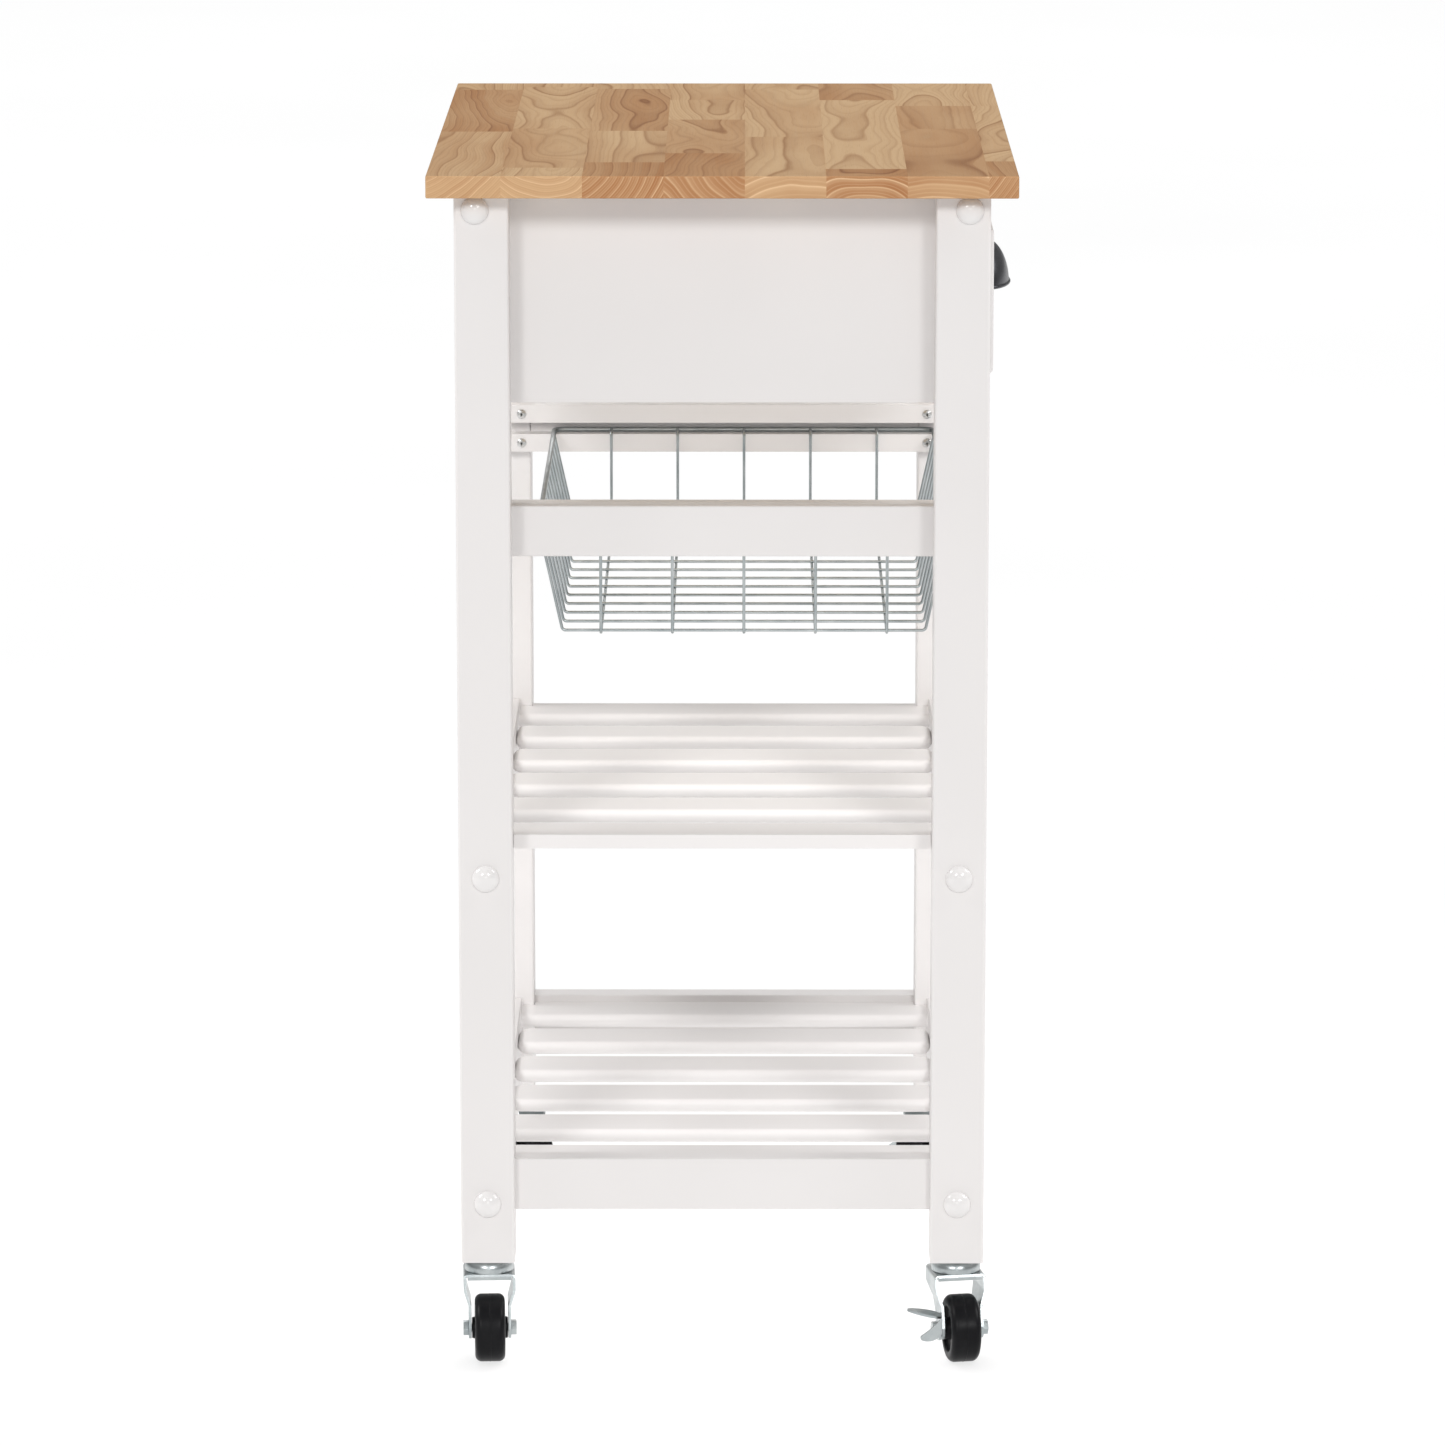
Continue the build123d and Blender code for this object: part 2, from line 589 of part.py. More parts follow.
def pan_screw(shank, diameter, head_diameter, head_height):
    """A pan-head screw along -Z, with the underside of its head at the origin."""
    return turned(
        [
            (0, head_height),
            (SCREW_FLAT_SHARE * head_diameter / 2, head_height),
            (head_diameter / 2, head_height / 2),
            (head_diameter / 2, 0),
            (diameter / 2, 0),
            (diameter / 2, -shank + diameter / 2),
            (0, -shank),
        ]
    )


def wood_screws():
    """Screws of the runners, the drawer guides and the top's cleats."""
    screws = []
    for end in ENDS.values():
        for side in LONG_SIDES.values():
            for name, (z, seat_x) in LEG_SCREW_HEIGHTS.items():
                seat = seat_x + SCREW_HEAD_HEIGHT if name == "drawer_guide" else seat_x
                shank = LEG_INNER_X + SCREW_GRIP - seat
                screw = pan_screw(shank, SCREW_DIAMETER, SCREW_HEAD_DIAMETER, SCREW_HEAD_HEIGHT)
                screws.append(Pos(end * seat, side * SCREW_Y, z) * Rot(0, -90 * end, 0) * screw)
            shank = CLEAT_SIDE + CLEAT_SCREW_GRIP
            screw = pan_screw(shank, SCREW_DIAMETER, SCREW_HEAD_DIAMETER, SCREW_HEAD_HEIGHT)
            place = Pos(
                end * (LEG_INNER_X - CLEAT_SIDE / 2), side * CLEAT_SCREW_Y, TOP_UNDERSIDE - CLEAT_SIDE
            )
            screws.append(place * Rot(180, 0, 0) * screw)
    return screws


def drawer_front():
    """The inset drawer front, a little proud of the legs, with softened face edges."""
    board = block(
        (-LEG_INNER_X + DRAWER_SIDE_REVEAL, LEG_INNER_X - DRAWER_SIDE_REVEAL),
        (DRAWER_FRONT_Y, DRAWER_BOX_FRONT_Y),
        (DRAWER_FRONT_LOW_Z, DRAWER_FRONT_HIGH_Z),
    )
    board = fillet(board.edges().group_by(Axis.Y)[0], DRAWER_FRONT_RADIUS)
    board -= block(
        (-DRAWER_INSIDE_X - BOTTOM_GROOVE_DEPTH, DRAWER_INSIDE_X + BOTTOM_GROOVE_DEPTH),
        (DRAWER_BOX_FRONT_Y - BOTTOM_GROOVE_DEPTH, DRAWER_BOX_FRONT_Y),
        (BOTTOM_LOW_Z - WOOD_CLEARANCE, BOTTOM_HIGH_Z + WOOD_CLEARANCE),
    )
    for x in pull_posts():
        hole = PULL_SCREW_DIAMETER + 2 * SCREW_CLEARANCE
        board -= rod_y(x, (DRAWER_FRONT_Y, DRAWER_BOX_FRONT_Y), PULL_POST_Z, hole)
    return board


def drawer_side(end):
    """A drawer side, grooved outside for the guide and inside for the bottom."""
    wall = block(
        (end * DRAWER_INSIDE_X, end * DRAWER_BOX_X),
        (DRAWER_BOX_FRONT_Y, DRAWER_BACK_Y),
        (DRAWER_BOX_LOW_Z, DRAWER_BOX_HIGH_Z),
    )
    wall -= block(
        (end * (DRAWER_BOX_X - GUIDE_GROOVE_DEPTH), end * DRAWER_BOX_X),
        (DRAWER_BOX_FRONT_Y, DRAWER_BACK_Y),
        (GUIDE_LOW_Z - RUN_PLAY, GUIDE_HIGH_Z + RUN_GAP),
    )
    wall -= block(
        (end * DRAWER_INSIDE_X, end * (DRAWER_INSIDE_X + BOTTOM_GROOVE_DEPTH)),
        (DRAWER_BOX_FRONT_Y, DRAWER_BACK_Y),
        (BOTTOM_LOW_Z - WOOD_CLEARANCE, BOTTOM_HIGH_Z + WOOD_CLEARANCE),
    )
    return wall


def drawer_back():
    """The drawer's back, standing on the bottom panel between the sides."""
    return block(
        (-DRAWER_INSIDE_X, DRAWER_INSIDE_X),
        (DRAWER_BACK_Y - DRAWER_WALL, DRAWER_BACK_Y),
        (BOTTOM_HIGH_Z, DRAWER_BOX_HIGH_Z),
    )


def drawer_bottom():
    """The thin panel held in the grooves of the drawer's sides and front."""
    reach = BOTTOM_GROOVE_DEPTH - BOTTOM_GROOVE_SPARE
    return block(
        (-DRAWER_INSIDE_X - reach, DRAWER_INSIDE_X + reach),
        (DRAWER_BOX_FRONT_Y - reach, DRAWER_BACK_Y),
        (BOTTOM_LOW_Z, BOTTOM_HIGH_Z),
    )


def pull_posts():
    """X of the two posts that the cup pull is screwed on by."""
    return (-PULL_POST_SPACING / 2, PULL_POST_SPACING / 2)


def before_drawer_front(shape):
    """A shape set at the pull's lower edge and cut to what stands out from the drawer front."""
    room = block(
        (-PULL_WIDTH, PULL_WIDTH),
        (DRAWER_FRONT_Y - PULL_WIDTH, DRAWER_FRONT_Y),
        (PULL_LOW_Z, PULL_LOW_Z + PULL_WIDTH),
    )
    return (Pos(0, DRAWER_FRONT_Y, PULL_LOW_Z) * shape) & room


def cup_dome(inset):
    """A quarter of an ellipsoid on the drawer front, smaller all round by the inset."""
    reach = (PULL_WIDTH / 2 - inset, PULL_PROJECTION - inset, PULL_HEIGHT - inset)
    return before_drawer_front(scale(Sphere(1), by=reach))


def cup_lip():
    """The raised band round the pull's lower edge."""
    band = Ellipse(PULL_WIDTH / 2 + PULL_LIP, PULL_PROJECTION + PULL_LIP)
    band -= Ellipse(PULL_WIDTH / 2 - PULL_WALL, PULL_PROJECTION - PULL_WALL)
    return before_drawer_front(extrude(band, PULL_LIP_HEIGHT))


def cup_pull():
    """The cup pull: a hollow quarter dome, open below, with two screw posts inside."""
    dome = cup_dome(0)
    shell = dome + cup_lip() - cup_dome(PULL_WALL)
    for x in pull_posts():
        post = rod_y(x, (DRAWER_FRONT_Y - PULL_PROJECTION, DRAWER_FRONT_Y), PULL_POST_Z, PULL_POST_DIAMETER)
        shell += post & dome
    for x in pull_posts():
        hole = PULL_SCREW_DIAMETER + 2 * SCREW_CLEARANCE
        tip = DRAWER_FRONT_Y - PULL_SCREW_GRIP - SCREW_CLEARANCE
        shell -= rod_y(x, (tip, DRAWER_FRONT_Y), PULL_POST_Z, hole)
    return shell


def pull_screws():
    """Screws from inside the drawer into the pull's posts."""
    shank = DRAWER_FRONT_THICKNESS + PULL_SCREW_GRIP
    screw = pan_screw(shank, PULL_SCREW_DIAMETER, PULL_SCREW_HEAD_DIAMETER, PULL_SCREW_HEAD_HEIGHT)
    return [Pos(x, DRAWER_BOX_FRONT_Y, PULL_POST_Z) * Rot(-90, 0, 0) * screw for x in pull_posts()]


def basket_rim():
    """The thick rim wire, a rounded rectangle that slides between the runners."""
    outline = RectangleRounded(2 * RIM_X, 2 * RIM_Y, RIM_CORNER_RADIUS)
    path = Pos(0, BASKET_SHIFT, RIM_Z) * outline.face().outer_wire()
    start = Plane(path @ 0, z_dir=path % 0)
    return sweep(start * Circle(RIM_WIRE / 2), path)


def bent_wire(points, radii):
    """A round wire along straight runs, with one bend radius for each corner."""
    path = FilletPolyline(*points, radius=radii)
    start = Plane(path @ 0, z_dir=path % 0)
    return sweep(start * Circle(WIRE / 2), path)


def cross_wires():
    """The wires that run down the front, across the floor and up the back."""
    half = BASKET_FLOOR_WIDTH / 2
    points = [(0, -RIM_Y, RIM_Z), (0, -half, FLOOR_Z), (0, half, FLOOR_Z), (0, RIM_Y, RIM_Z)]
    wire = bent_wire(points, [WIRE_BEND_RADIUS, WIRE_BEND_RADIUS])
    middle = (CROSS_WIRE_COUNT - 1) / 2
    places = [(index - middle) * CROSS_WIRE_PITCH for index in range(CROSS_WIRE_COUNT)]
    return [Pos(x, BASKET_SHIFT, 0) * wire for x in places]


def long_wires():
    """The wires along the basket: in from the rim past the runner, down, and under the cross wires."""
    half = BASKET_FLOOR_LENGTH / 2
    floor = FLOOR_Z - WIRE + WELD_SINK
    near_end = [(-RIM_X, 0, RIM_Z), (-SHOULDER_X, 0, RIM_Z), (-half, 0, floor)]
    far_end = [(-x, y, z) for x, y, z in reversed(near_end)]
    radii = [SHOULDER_BEND_RADIUS, WIRE_BEND_RADIUS, WIRE_BEND_RADIUS, SHOULDER_BEND_RADIUS]
    wire = bent_wire(near_end + far_end, radii)
    middle = (LONG_WIRE_COUNT - 1) / 2
    places = [(index - middle) * LONG_WIRE_PITCH for index in range(LONG_WIRE_COUNT)]
    return [Pos(0, BASKET_SHIFT + y, 0) * wire for y in places]


def caster_stem():
    """Stem, upper race and kingpin of a caster, on the swivel axis above the floor."""
    head_top = CROWN_LOW_Z - SWIVEL_GAP
    head_low = head_top - KINGPIN_HEAD_HEIGHT
    head = KINGPIN_HEAD_DIAMETER / 2
    pin = KINGPIN_DIAMETER / 2
    rim = (RACE_DIAMETER / 2, RACE_LOW_Z + RACE_RIM_HEIGHT)
    bowl_top = (RACE_TOP_DIAMETER / 2, CASTER_HEIGHT)
    stem_top = CASTER_HEIGHT + STEM_LENGTH
    below = [(0, head_low), (head, head_low), (head, head_top), (pin, head_top), (pin, RACE_LOW_Z)]
    below += [(RACE_DIAMETER / 2, RACE_LOW_Z), rim]
    above = [bowl_top, (pin, CASTER_HEIGHT), (pin, stem_top), (0, stem_top), below[0]]
    bowl = SagittaArc(rim, bowl_top, -RACE_BULGE)
    return revolve(Plane.XZ * make_face([Polyline(*below), bowl, Polyline(*above)]), Axis.Z)


def stem_insert():
    """The threaded insert in a leg's foot."""
    sleeve = rod_z(0, 0, (CASTER_HEIGHT, CASTER_HEIGHT + INSERT_LENGTH), INSERT_DIAMETER)
    hole = KINGPIN_DIAMETER + 2 * RUNNING_CLEARANCE
    return sleeve - rod_z(0, 0, (CASTER_HEIGHT, CASTER_HEIGHT + INSERT_LENGTH), hole)


def fork_section(inset):
    """The outline across the fork with its bends rounded, moved in by the inset."""
    foot = AXLE_Z - FORK_FOOT_RADIUS
    knee = CROWN_TOP_Z - FORK_FLARE_DROP - FORK_FLARE_HEIGHT / 2
    low = FORK_OUTER_Y - inset
    high = FORK_TOP_WIDTH / 2 - inset
    half = [(low, foot), (low, knee), (high, knee + FORK_FLARE_HEIGHT), (high, CROWN_TOP_Z - inset)]
    section = make_face(Polyline(*half, *[(-y, z) for y, z in reversed(half)], close=True))
    return fillet(section.vertices().sort_by(Axis.Y)[2:], FORK_BEND_RADIUS - inset)


def fork():
    """The stamped fork: a bent sheet across the wheel, cut to its side outline, with a front lip."""
    front = FORK_CROWN_LENGTH / 2
    length = front + TRAIL + FORK_FOOT_RADIUS
    sheet = extrude(Plane.YZ * (fork_section(0) - fork_section(FORK_SHEET)), length, both=True)
    crown = Pos(0, CROWN_TOP_Z - FORK_CROWN_DROP / 2) * Rectangle(FORK_CROWN_LENGTH, FORK_CROWN_DROP)
    foot = Pos(TRAIL, AXLE_Z) * Circle(FORK_FOOT_RADIUS)
    side_view = make_hull(crown.edges() + foot.edges())
    body = sheet & extrude(Plane.XZ * side_view, FORK_TOP_WIDTH, both=True)
    lip_half = FORK_TOP_WIDTH / 2 - FORK_BEND_RADIUS
    body += block((front - FORK_SHEET, front), (-lip_half, lip_half), (CROWN_LOW_Z - FORK_LIP, CROWN_TOP_Z))
    kingpin_hole = KINGPIN_DIAMETER + 2 * RUNNING_CLEARANCE
    body -= rod_z(0, 0, (CROWN_LOW_Z, CROWN_TOP_Z), kingpin_hole)
    axle_hole = AXLE_DIAMETER + 2 * RUNNING_CLEARANCE
    return body - rod_y(TRAIL, (-FORK_TOP_WIDTH, FORK_TOP_WIDTH), AXLE_Z, axle_hole)


def axle(braked):
    """The axle bolt with its hexagon head and nut, outside the fork and any brake lever."""
    nut_y = (LEVER_FAR_Y + LEVER_GAP) if braked else FORK_OUTER_Y
    bolt = rod_y(TRAIL, (-nut_y - HEX_HEIGHT, FORK_OUTER_Y), AXLE_Z, AXLE_DIAMETER)
    hexagon = extrude(RegularPolygon(HEX_WIDTH / 2, 6, major_radius=False), HEX_HEIGHT)
    bolt += Pos(TRAIL, FORK_OUTER_Y, AXLE_Z) * Rot(-90, 0, 0) * hexagon
    return bolt + Pos(TRAIL, -nut_y, AXLE_Z) * Rot(90, 0, 0) * hexagon


def wheel():
    """A solid wheel with rounded shoulders, dished sides and a hub that fills the fork."""
    bore = AXLE_DIAMETER / 2 + RUNNING_CLEARANCE
    hub = HUB_DIAMETER / 2
    dish = WHEEL_WIDTH / 2 - WHEEL_DISH
    tread = WHEEL_DIAMETER / 2
    rim = tread - WHEEL_RIM_DEPTH
    half = [
        (bore, HUB_HALF_WIDTH),
        (hub, HUB_HALF_WIDTH),
        (hub, dish),
        (rim, dish),
        (rim, WHEEL_WIDTH / 2),
        (tread, WHEEL_WIDTH / 2),
    ]
    profile = make_face(Polyline(*half, *[(r, -y) for r, y in reversed(half)], close=True))
    profile = fillet(profile.vertices().group_by(Axis.X)[-1], WHEEL_SHOULDER_RADIUS)
    return Pos(TRAIL, 0, AXLE_Z) * revolve(profile, Axis.Y)


def brake_lever():
    """The two-winged brake lever that rocks on the axle beside the fork, bent from one sheet."""
    upper_x = LEVER_HUB_RADIUS - UPPER_WING_ROOT / 2
    shoulder = Pos(upper_x, LEVER_RISE) * Rectangle(UPPER_WING_ROOT, LEVER_SHEET)
    side_view = make_hull(Circle(LEVER_HUB_RADIUS).edges() + shoulder.edges())
    plate = Rot(90, 0, 0) * extrude(side_view, LEVER_SHEET)

    root = (UPPER_WING_ROOT / 2, 0)
    widest = (UPPER_WING_WIDTH / 2, UPPER_WING_LENGTH / 2)
    left_root, left_widest = [(-x, y) for x, y in (root, widest)]
    oval = Spline(left_root, left_widest, (0, UPPER_WING_LENGTH), widest, root)
    pedal = extrude(make_face([oval, Line(root, left_root)]), LEVER_SHEET / 2, both=True)
    upper = Pos(upper_x, -LEVER_SHEET / 2, LEVER_RISE) * Rot(-UPPER_WING_TILT, 0, 180) * pedal

    root_top = (0, LEVER_RISE)
    root_low = (0, -LOWER_WING_ROOT_DROP)
    tip = (-LOWER_WING_LENGTH, -LOWER_WING_TIP_DROP)
    hollow = SagittaArc(root_top, tip, LOWER_WING_HOLLOW)
    belly = SagittaArc(tip, root_low, -LOWER_WING_BELLY)
    leaf = make_face([hollow, belly, Line(root_low, root_top)])
    leaf = fillet(leaf.vertices().sort_by(Axis.X)[0], LOWER_WING_TIP_RADIUS)
    lower = Pos(LEVER_HUB_RADIUS - LEVER_SHEET, 0, 0) * extrude(Plane.YZ * leaf, LEVER_SHEET)

    bore = rod_y(0, (-LEVER_SHEET, 0), 0, AXLE_DIAMETER + 2 * RUNNING_CLEARANCE)
    return Pos(TRAIL, -LEVER_NEAR_Y, AXLE_Z) * (plate + upper + lower - bore)


def at_corner(shape, corner, turn=0.0):
    """A caster piece moved under its leg and turned to the way it trails."""
    end, side = CORNERS[corner]
    return Pos(end * LEG_X, side * LEG_Y, 0) * Rot(0, 0, turn) * shape


def all_parts():
    """Every piece of the cart by its name."""
    parts = {
        "table_top": table_top(),
        "top_cleats": top_cleats(),
        "back_panel": apron(1, (PANEL_BOTTOM, TOP_UNDERSIDE), True),
        "front_top_rail": apron(-1, (TOP_UNDERSIDE - FRONT_TOP_RAIL_HEIGHT, TOP_UNDERSIDE), True),
        "front_lower_rail": apron(-1, (PANEL_BOTTOM, PANEL_BOTTOM + FRONT_LOWER_RAIL_HEIGHT), False),
        "mid_shelf_slats": shelf_slats(MID_RAIL_TOP),
        "lower_shelf_slats": shelf_slats(LOWER_RAIL_TOP),
        "frame_bolts": frame_bolts(),
        "bolt_caps": bolt_caps(),
        "barrel_nuts": barrel_nuts(),
        "wood_screws": wood_screws(),
        "stem_inserts": [at_corner(stem_insert(), corner) for corner in CORNERS],
        "drawer_front": drawer_front(),
        "drawer_back": drawer_back(),
        "drawer_bottom": drawer_bottom(),
        "cup_pull": cup_pull(),
        "pull_screws": pull_screws(),
        "basket_rim": basket_rim(),
        "basket_cross_wires": cross_wires(),
        "basket_long_wires": long_wires(),
    }
    for name, end in ENDS.items():
        parts[f"end_panel_{name}"] = end_panel(end)
        parts[f"cross_rail_{name}"] = cross_rail(end)
        parts[f"lower_runner_{name}"] = runner(end, CROSS_RAIL_BOTTOM)
        parts[f"upper_runner_{name}"] = runner(end, CROSS_RAIL_TOP - RUNNER_SIDE)
        parts[f"drawer_guide_{name}"] = drawer_guide(end)
        parts[f"lower_end_rail_{name}"] = end_rail(end)
        parts[f"drawer_side_{name}"] = drawer_side(end)
    for name, side in LONG_SIDES.items():
        parts[f"mid_rail_{name}"] = long_rail(side, MID_RAIL_TOP)
        parts[f"lower_rail_{name}"] = long_rail(side, LOWER_RAIL_TOP)
    for corner, (end, side) in CORNERS.items():
        turn = CASTER_TURNS[corner]
        parts[f"leg_{corner}"] = leg(end, side)
        parts[f"caster_stem_{corner}"] = at_corner(caster_stem(), corner)
        parts[f"caster_fork_{corner}"] = at_corner(fork(), corner, turn)
        parts[f"caster_axle_{corner}"] = at_corner(axle(corner in BRAKED), corner, turn)
        parts[f"caster_wheel_{corner}"] = at_corner(wheel(), corner, turn)
    for corner in BRAKED:
        parts[f"brake_lever_{corner}"] = at_corner(brake_lever(), corner, CASTER_TURNS[corner])
    return parts


def main():
    os.makedirs("parts", exist_ok=True)
    for name, shape in all_parts().items():
        whole = Compound(children=[piece.solid() for piece in shape]) if isinstance(shape, list) else shape
        export_step(whole, f"parts/{name}.step")
        print(name, len(whole.solids()), round(whole.volume))


main()
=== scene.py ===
# %% [markdown]
# # A kitchen island cart
# The CAD model fixes where every board, bolt, wire and wheel is. This lesson dresses it: it gives
# each surface its finish, and it remakes the pieces whose looks depend on fine, smooth shapes.
# The frame is loaded first, because every piece below is placed by it, in metres.

import math
import random

import bmesh
import bpy
from mathutils import Matrix, Vector


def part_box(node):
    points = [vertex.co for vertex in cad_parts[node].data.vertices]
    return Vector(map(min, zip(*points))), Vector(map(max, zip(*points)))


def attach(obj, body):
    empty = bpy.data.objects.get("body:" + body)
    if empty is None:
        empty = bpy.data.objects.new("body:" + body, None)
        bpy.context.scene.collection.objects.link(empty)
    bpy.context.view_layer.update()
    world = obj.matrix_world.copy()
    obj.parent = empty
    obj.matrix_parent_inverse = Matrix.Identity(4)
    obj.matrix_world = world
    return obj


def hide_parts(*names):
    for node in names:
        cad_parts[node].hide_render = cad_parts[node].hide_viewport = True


MM = 0.001

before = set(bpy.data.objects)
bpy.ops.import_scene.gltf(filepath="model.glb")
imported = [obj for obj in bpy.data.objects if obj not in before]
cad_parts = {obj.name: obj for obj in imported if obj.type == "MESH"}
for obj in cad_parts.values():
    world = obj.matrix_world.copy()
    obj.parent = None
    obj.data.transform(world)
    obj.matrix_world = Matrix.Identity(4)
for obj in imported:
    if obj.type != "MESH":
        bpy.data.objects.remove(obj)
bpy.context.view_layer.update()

# %% [markdown]
# ## Camera
# The cart is seen from one end, from a little above. A short lens from nearby would make the legs
# lean, so a long one from further off keeps them nearly parallel. The eye's place was worked out
# from the corners of the worktop and the feet of the legs.

# %% Camera
EYE = Vector((-5.258, -0.0161, 1.508))
LINE_OF_SIGHT = Vector((1.0, 0.0032, -0.2065))
LENS_MM = 176.1
SENSOR_MM = 36.0
SEEN_TO = 200.0


def new_object(name, data):
    """An object that shows this data, linked to the scene."""
    made = bpy.data.objects.new(name, data)
    bpy.context.scene.collection.objects.link(made)
    return made


camera_data = bpy.data.cameras.new("end_view")
camera_data.lens = LENS_MM
camera_data.sensor_width = SENSOR_MM
camera_data.clip_end = SEEN_TO
camera = new_object("end_view", camera_data)
camera.location = EYE
camera.rotation_euler = LINE_OF_SIGHT.to_track_quat("-Z", "Y").to_euler()
bpy.context.scene.camera = camera
print("camera", round(EYE.length, 2), "m from the origin, lens", LENS_MM, "mm")

# %% [markdown]
# ## Building with nodes
# Finishes and repeated pieces are both node trees. One small helper adds a node, sets it up and
# links its inputs, so a tree reads from top to bottom like a recipe.


# %% Node helpers
def add(tree, kind, inputs=None, **settings):
    """Adds a node; an input that is given a socket is linked to it, any other input is set."""
    node = tree.nodes.new(kind)
    for name, value in settings.items():
        setattr(node, name, value)
    for key, value in (inputs or {}).items():
        if isinstance(value, bpy.types.NodeSocket):
            tree.links.new(value, node.inputs[key])
        else:
            node.inputs[key].default_value = value
    return node


def calc(tree, operation, first, second=0.0, clamp=False):
    inputs = {0: first, 1: second}
    return add(tree, "ShaderNodeMath", inputs, operation=operation, use_clamp=clamp).outputs[0]


def vector_calc(tree, operation, first, second):
    return add(tree, "ShaderNodeVectorMath", {0: first, 1: second}, operation=operation).outputs[0]


def scaled(tree, vector, factor):
    inputs = {0: vector, "Scale": factor}
    return add(tree, "ShaderNodeVectorMath", inputs, operation="SCALE").outputs[0]


print("node helpers ready")

# %% [markdown]
# A finish is a tree round Blender's Principled shader. The next helpers start one and give it its
# patterns: a place to read them at, a noise, a range for it, a mix of two colours and a bump.


# %% Finish helpers
def start_finish(name, **constants):
    """A new material whose shader has these values set on its own sockets."""
    material = bpy.data.materials.new(name)
    material.use_nodes = True
    shader = material.node_tree.nodes["Principled BSDF"]
    for label, value in constants.items():
        shader.inputs[label.replace("_", " ")].default_value = value
    return material, material.node_tree, shader


def place_on(tree, stretch=(1.0, 1.0, 1.0)):
    """Object coordinates, stretched so that a pattern can run along one direction."""
    here = add(tree, "ShaderNodeTexCoord").outputs["Object"]
    return add(tree, "ShaderNodeMapping", {"Vector": here, "Scale": stretch}).outputs[0]


def noise(tree, place, scale, detail=3.0):
    inputs = {"Vector": place, "Scale": scale, "Detail": detail}
    return add(tree, "ShaderNodeTexNoise", inputs).outputs["Fac"]


def spread(tree, value, low, high, from_low=0.3, from_high=0.7):
    """Maps a pattern's usual range to the range that a finish needs."""
    limits = {"From Min": from_low, "From Max": from_high, "To Min": low, "To Max": high}
    return add(tree, "ShaderNodeMapRange", {"Value": value, **limits}).outputs[0]


def between(tree, share, low, high):
    """Maps a share from 0 to 1 to the range from low to high."""
    return spread(tree, share, low, high, 0.0, 1.0)


def blend_colours(tree, share, first, second):
    # Sockets 6 and 7 are the two colours of a Mix node, and output 2 is the mixed colour.
    inputs = {0: share, 6: first, 7: second}
    return add(tree, "ShaderNodeMix", inputs, data_type="RGBA").outputs[2]


def relief(tree, height, depth, below=None):
    """A bump of this depth in metres, laid over another bump where one is given."""
    inputs = {"Height": height, "Distance": depth, "Strength": 1.0}
    if below is not None:
        inputs["Normal"] = below
    return add(tree, "ShaderNodeBump", inputs).outputs[0]


def connect(tree, shader, **sources):
    for label, socket in sources.items():
        tree.links.new(socket, shader.inputs[label.replace("_", " ")])


print("finish helpers ready")

# %% [markdown]
# ## Studio
# The cart stands on a wide white floor under a dim white sky. A curved backdrop would do as well
# from the front, but a floor that goes on in all directions looks the same from every side.

# %% Floor and sky
FLOOR_HALF = 60.0
FLOOR_TONES = ((0.955, 0.955, 0.955, 1), (0.975, 0.975, 0.975, 1))
SKY_COLOUR = (1.0, 1.0, 1.0, 1.0)
SKY_STRENGTH = 0.28

floor_mesh = bpy.data.meshes.new("floor")
floor_corners = [(-FLOOR_HALF, -FLOOR_HALF, 0), (FLOOR_HALF, -FLOOR_HALF, 0)]
floor_corners += [(FLOOR_HALF, FLOOR_HALF, 0), (-FLOOR_HALF, FLOOR_HALF, 0)]
floor_mesh.from_pydata(floor_corners, [], [(0, 1, 2, 3)])
floor = new_object("floor", floor_mesh)

floor_paint, tree, shader = start_finish("studio_floor", Roughness=0.9)
floor_clouds = spread(tree, noise(tree, place_on(tree), scale=0.8), 0.0, 1.0)
connect(tree, shader, Base_Color=blend_colours(tree, floor_clouds, *FLOOR_TONES))
floor_mesh.materials.append(floor_paint)

world = bpy.data.worlds.new("studio_white")
world.use_nodes = True
sky = world.node_tree.nodes["Background"]
sky.inputs["Color"].default_value = SKY_COLOUR
sky.inputs["Strength"].default_value = SKY_STRENGTH
bpy.context.scene.world = world
bpy.context.scene.view_settings.view_transform = "Standard"
print("floor", 2 * FLOOR_HALF, "m wide, sky of strength", SKY_STRENGTH)

# %% [markdown]
# A white cart on white needs light from all round. The floor has a light of its own, which nothing
# else receives or blocks, so it stays white right under the cart and throws light back up. Two
# broad lights from the sides brighten the worktop. Two smaller ones from the front, above the
# camera, draw the short shadow under the worktop's overhang, and a weak one lies along the view.
# Area lamps would fade with distance, so suns with a wide angle do all this. Light linking tells
# each of them which objects it may reach.


# %% Lights
def broad_light(name, direction, strength, spread_degrees, lit_only=(), unlit=()):
    """A soft light along a direction, on the listed objects alone or on all but the unlit ones."""
    light = bpy.data.lights.new(name, "SUN")
    light.energy = strength
    light.angle = math.radians(spread_degrees)
    lamp = new_object(name, light)
    lamp.rotation_euler = Vector(direction).to_track_quat("-Z", "Y").to_euler()
    listed = bpy.data.collections.new(name + "_rule")
    for thing in lit_only or [floor, *unlit]:
        listed.objects.link(thing)
    for entry in listed.collection_objects:
        entry.light_linking.link_state = "INCLUDE" if lit_only else "EXCLUDE"
    lamp.light_linking.receiver_collection = listed
    if lit_only:
        lamp.light_linking.blocker_collection = listed


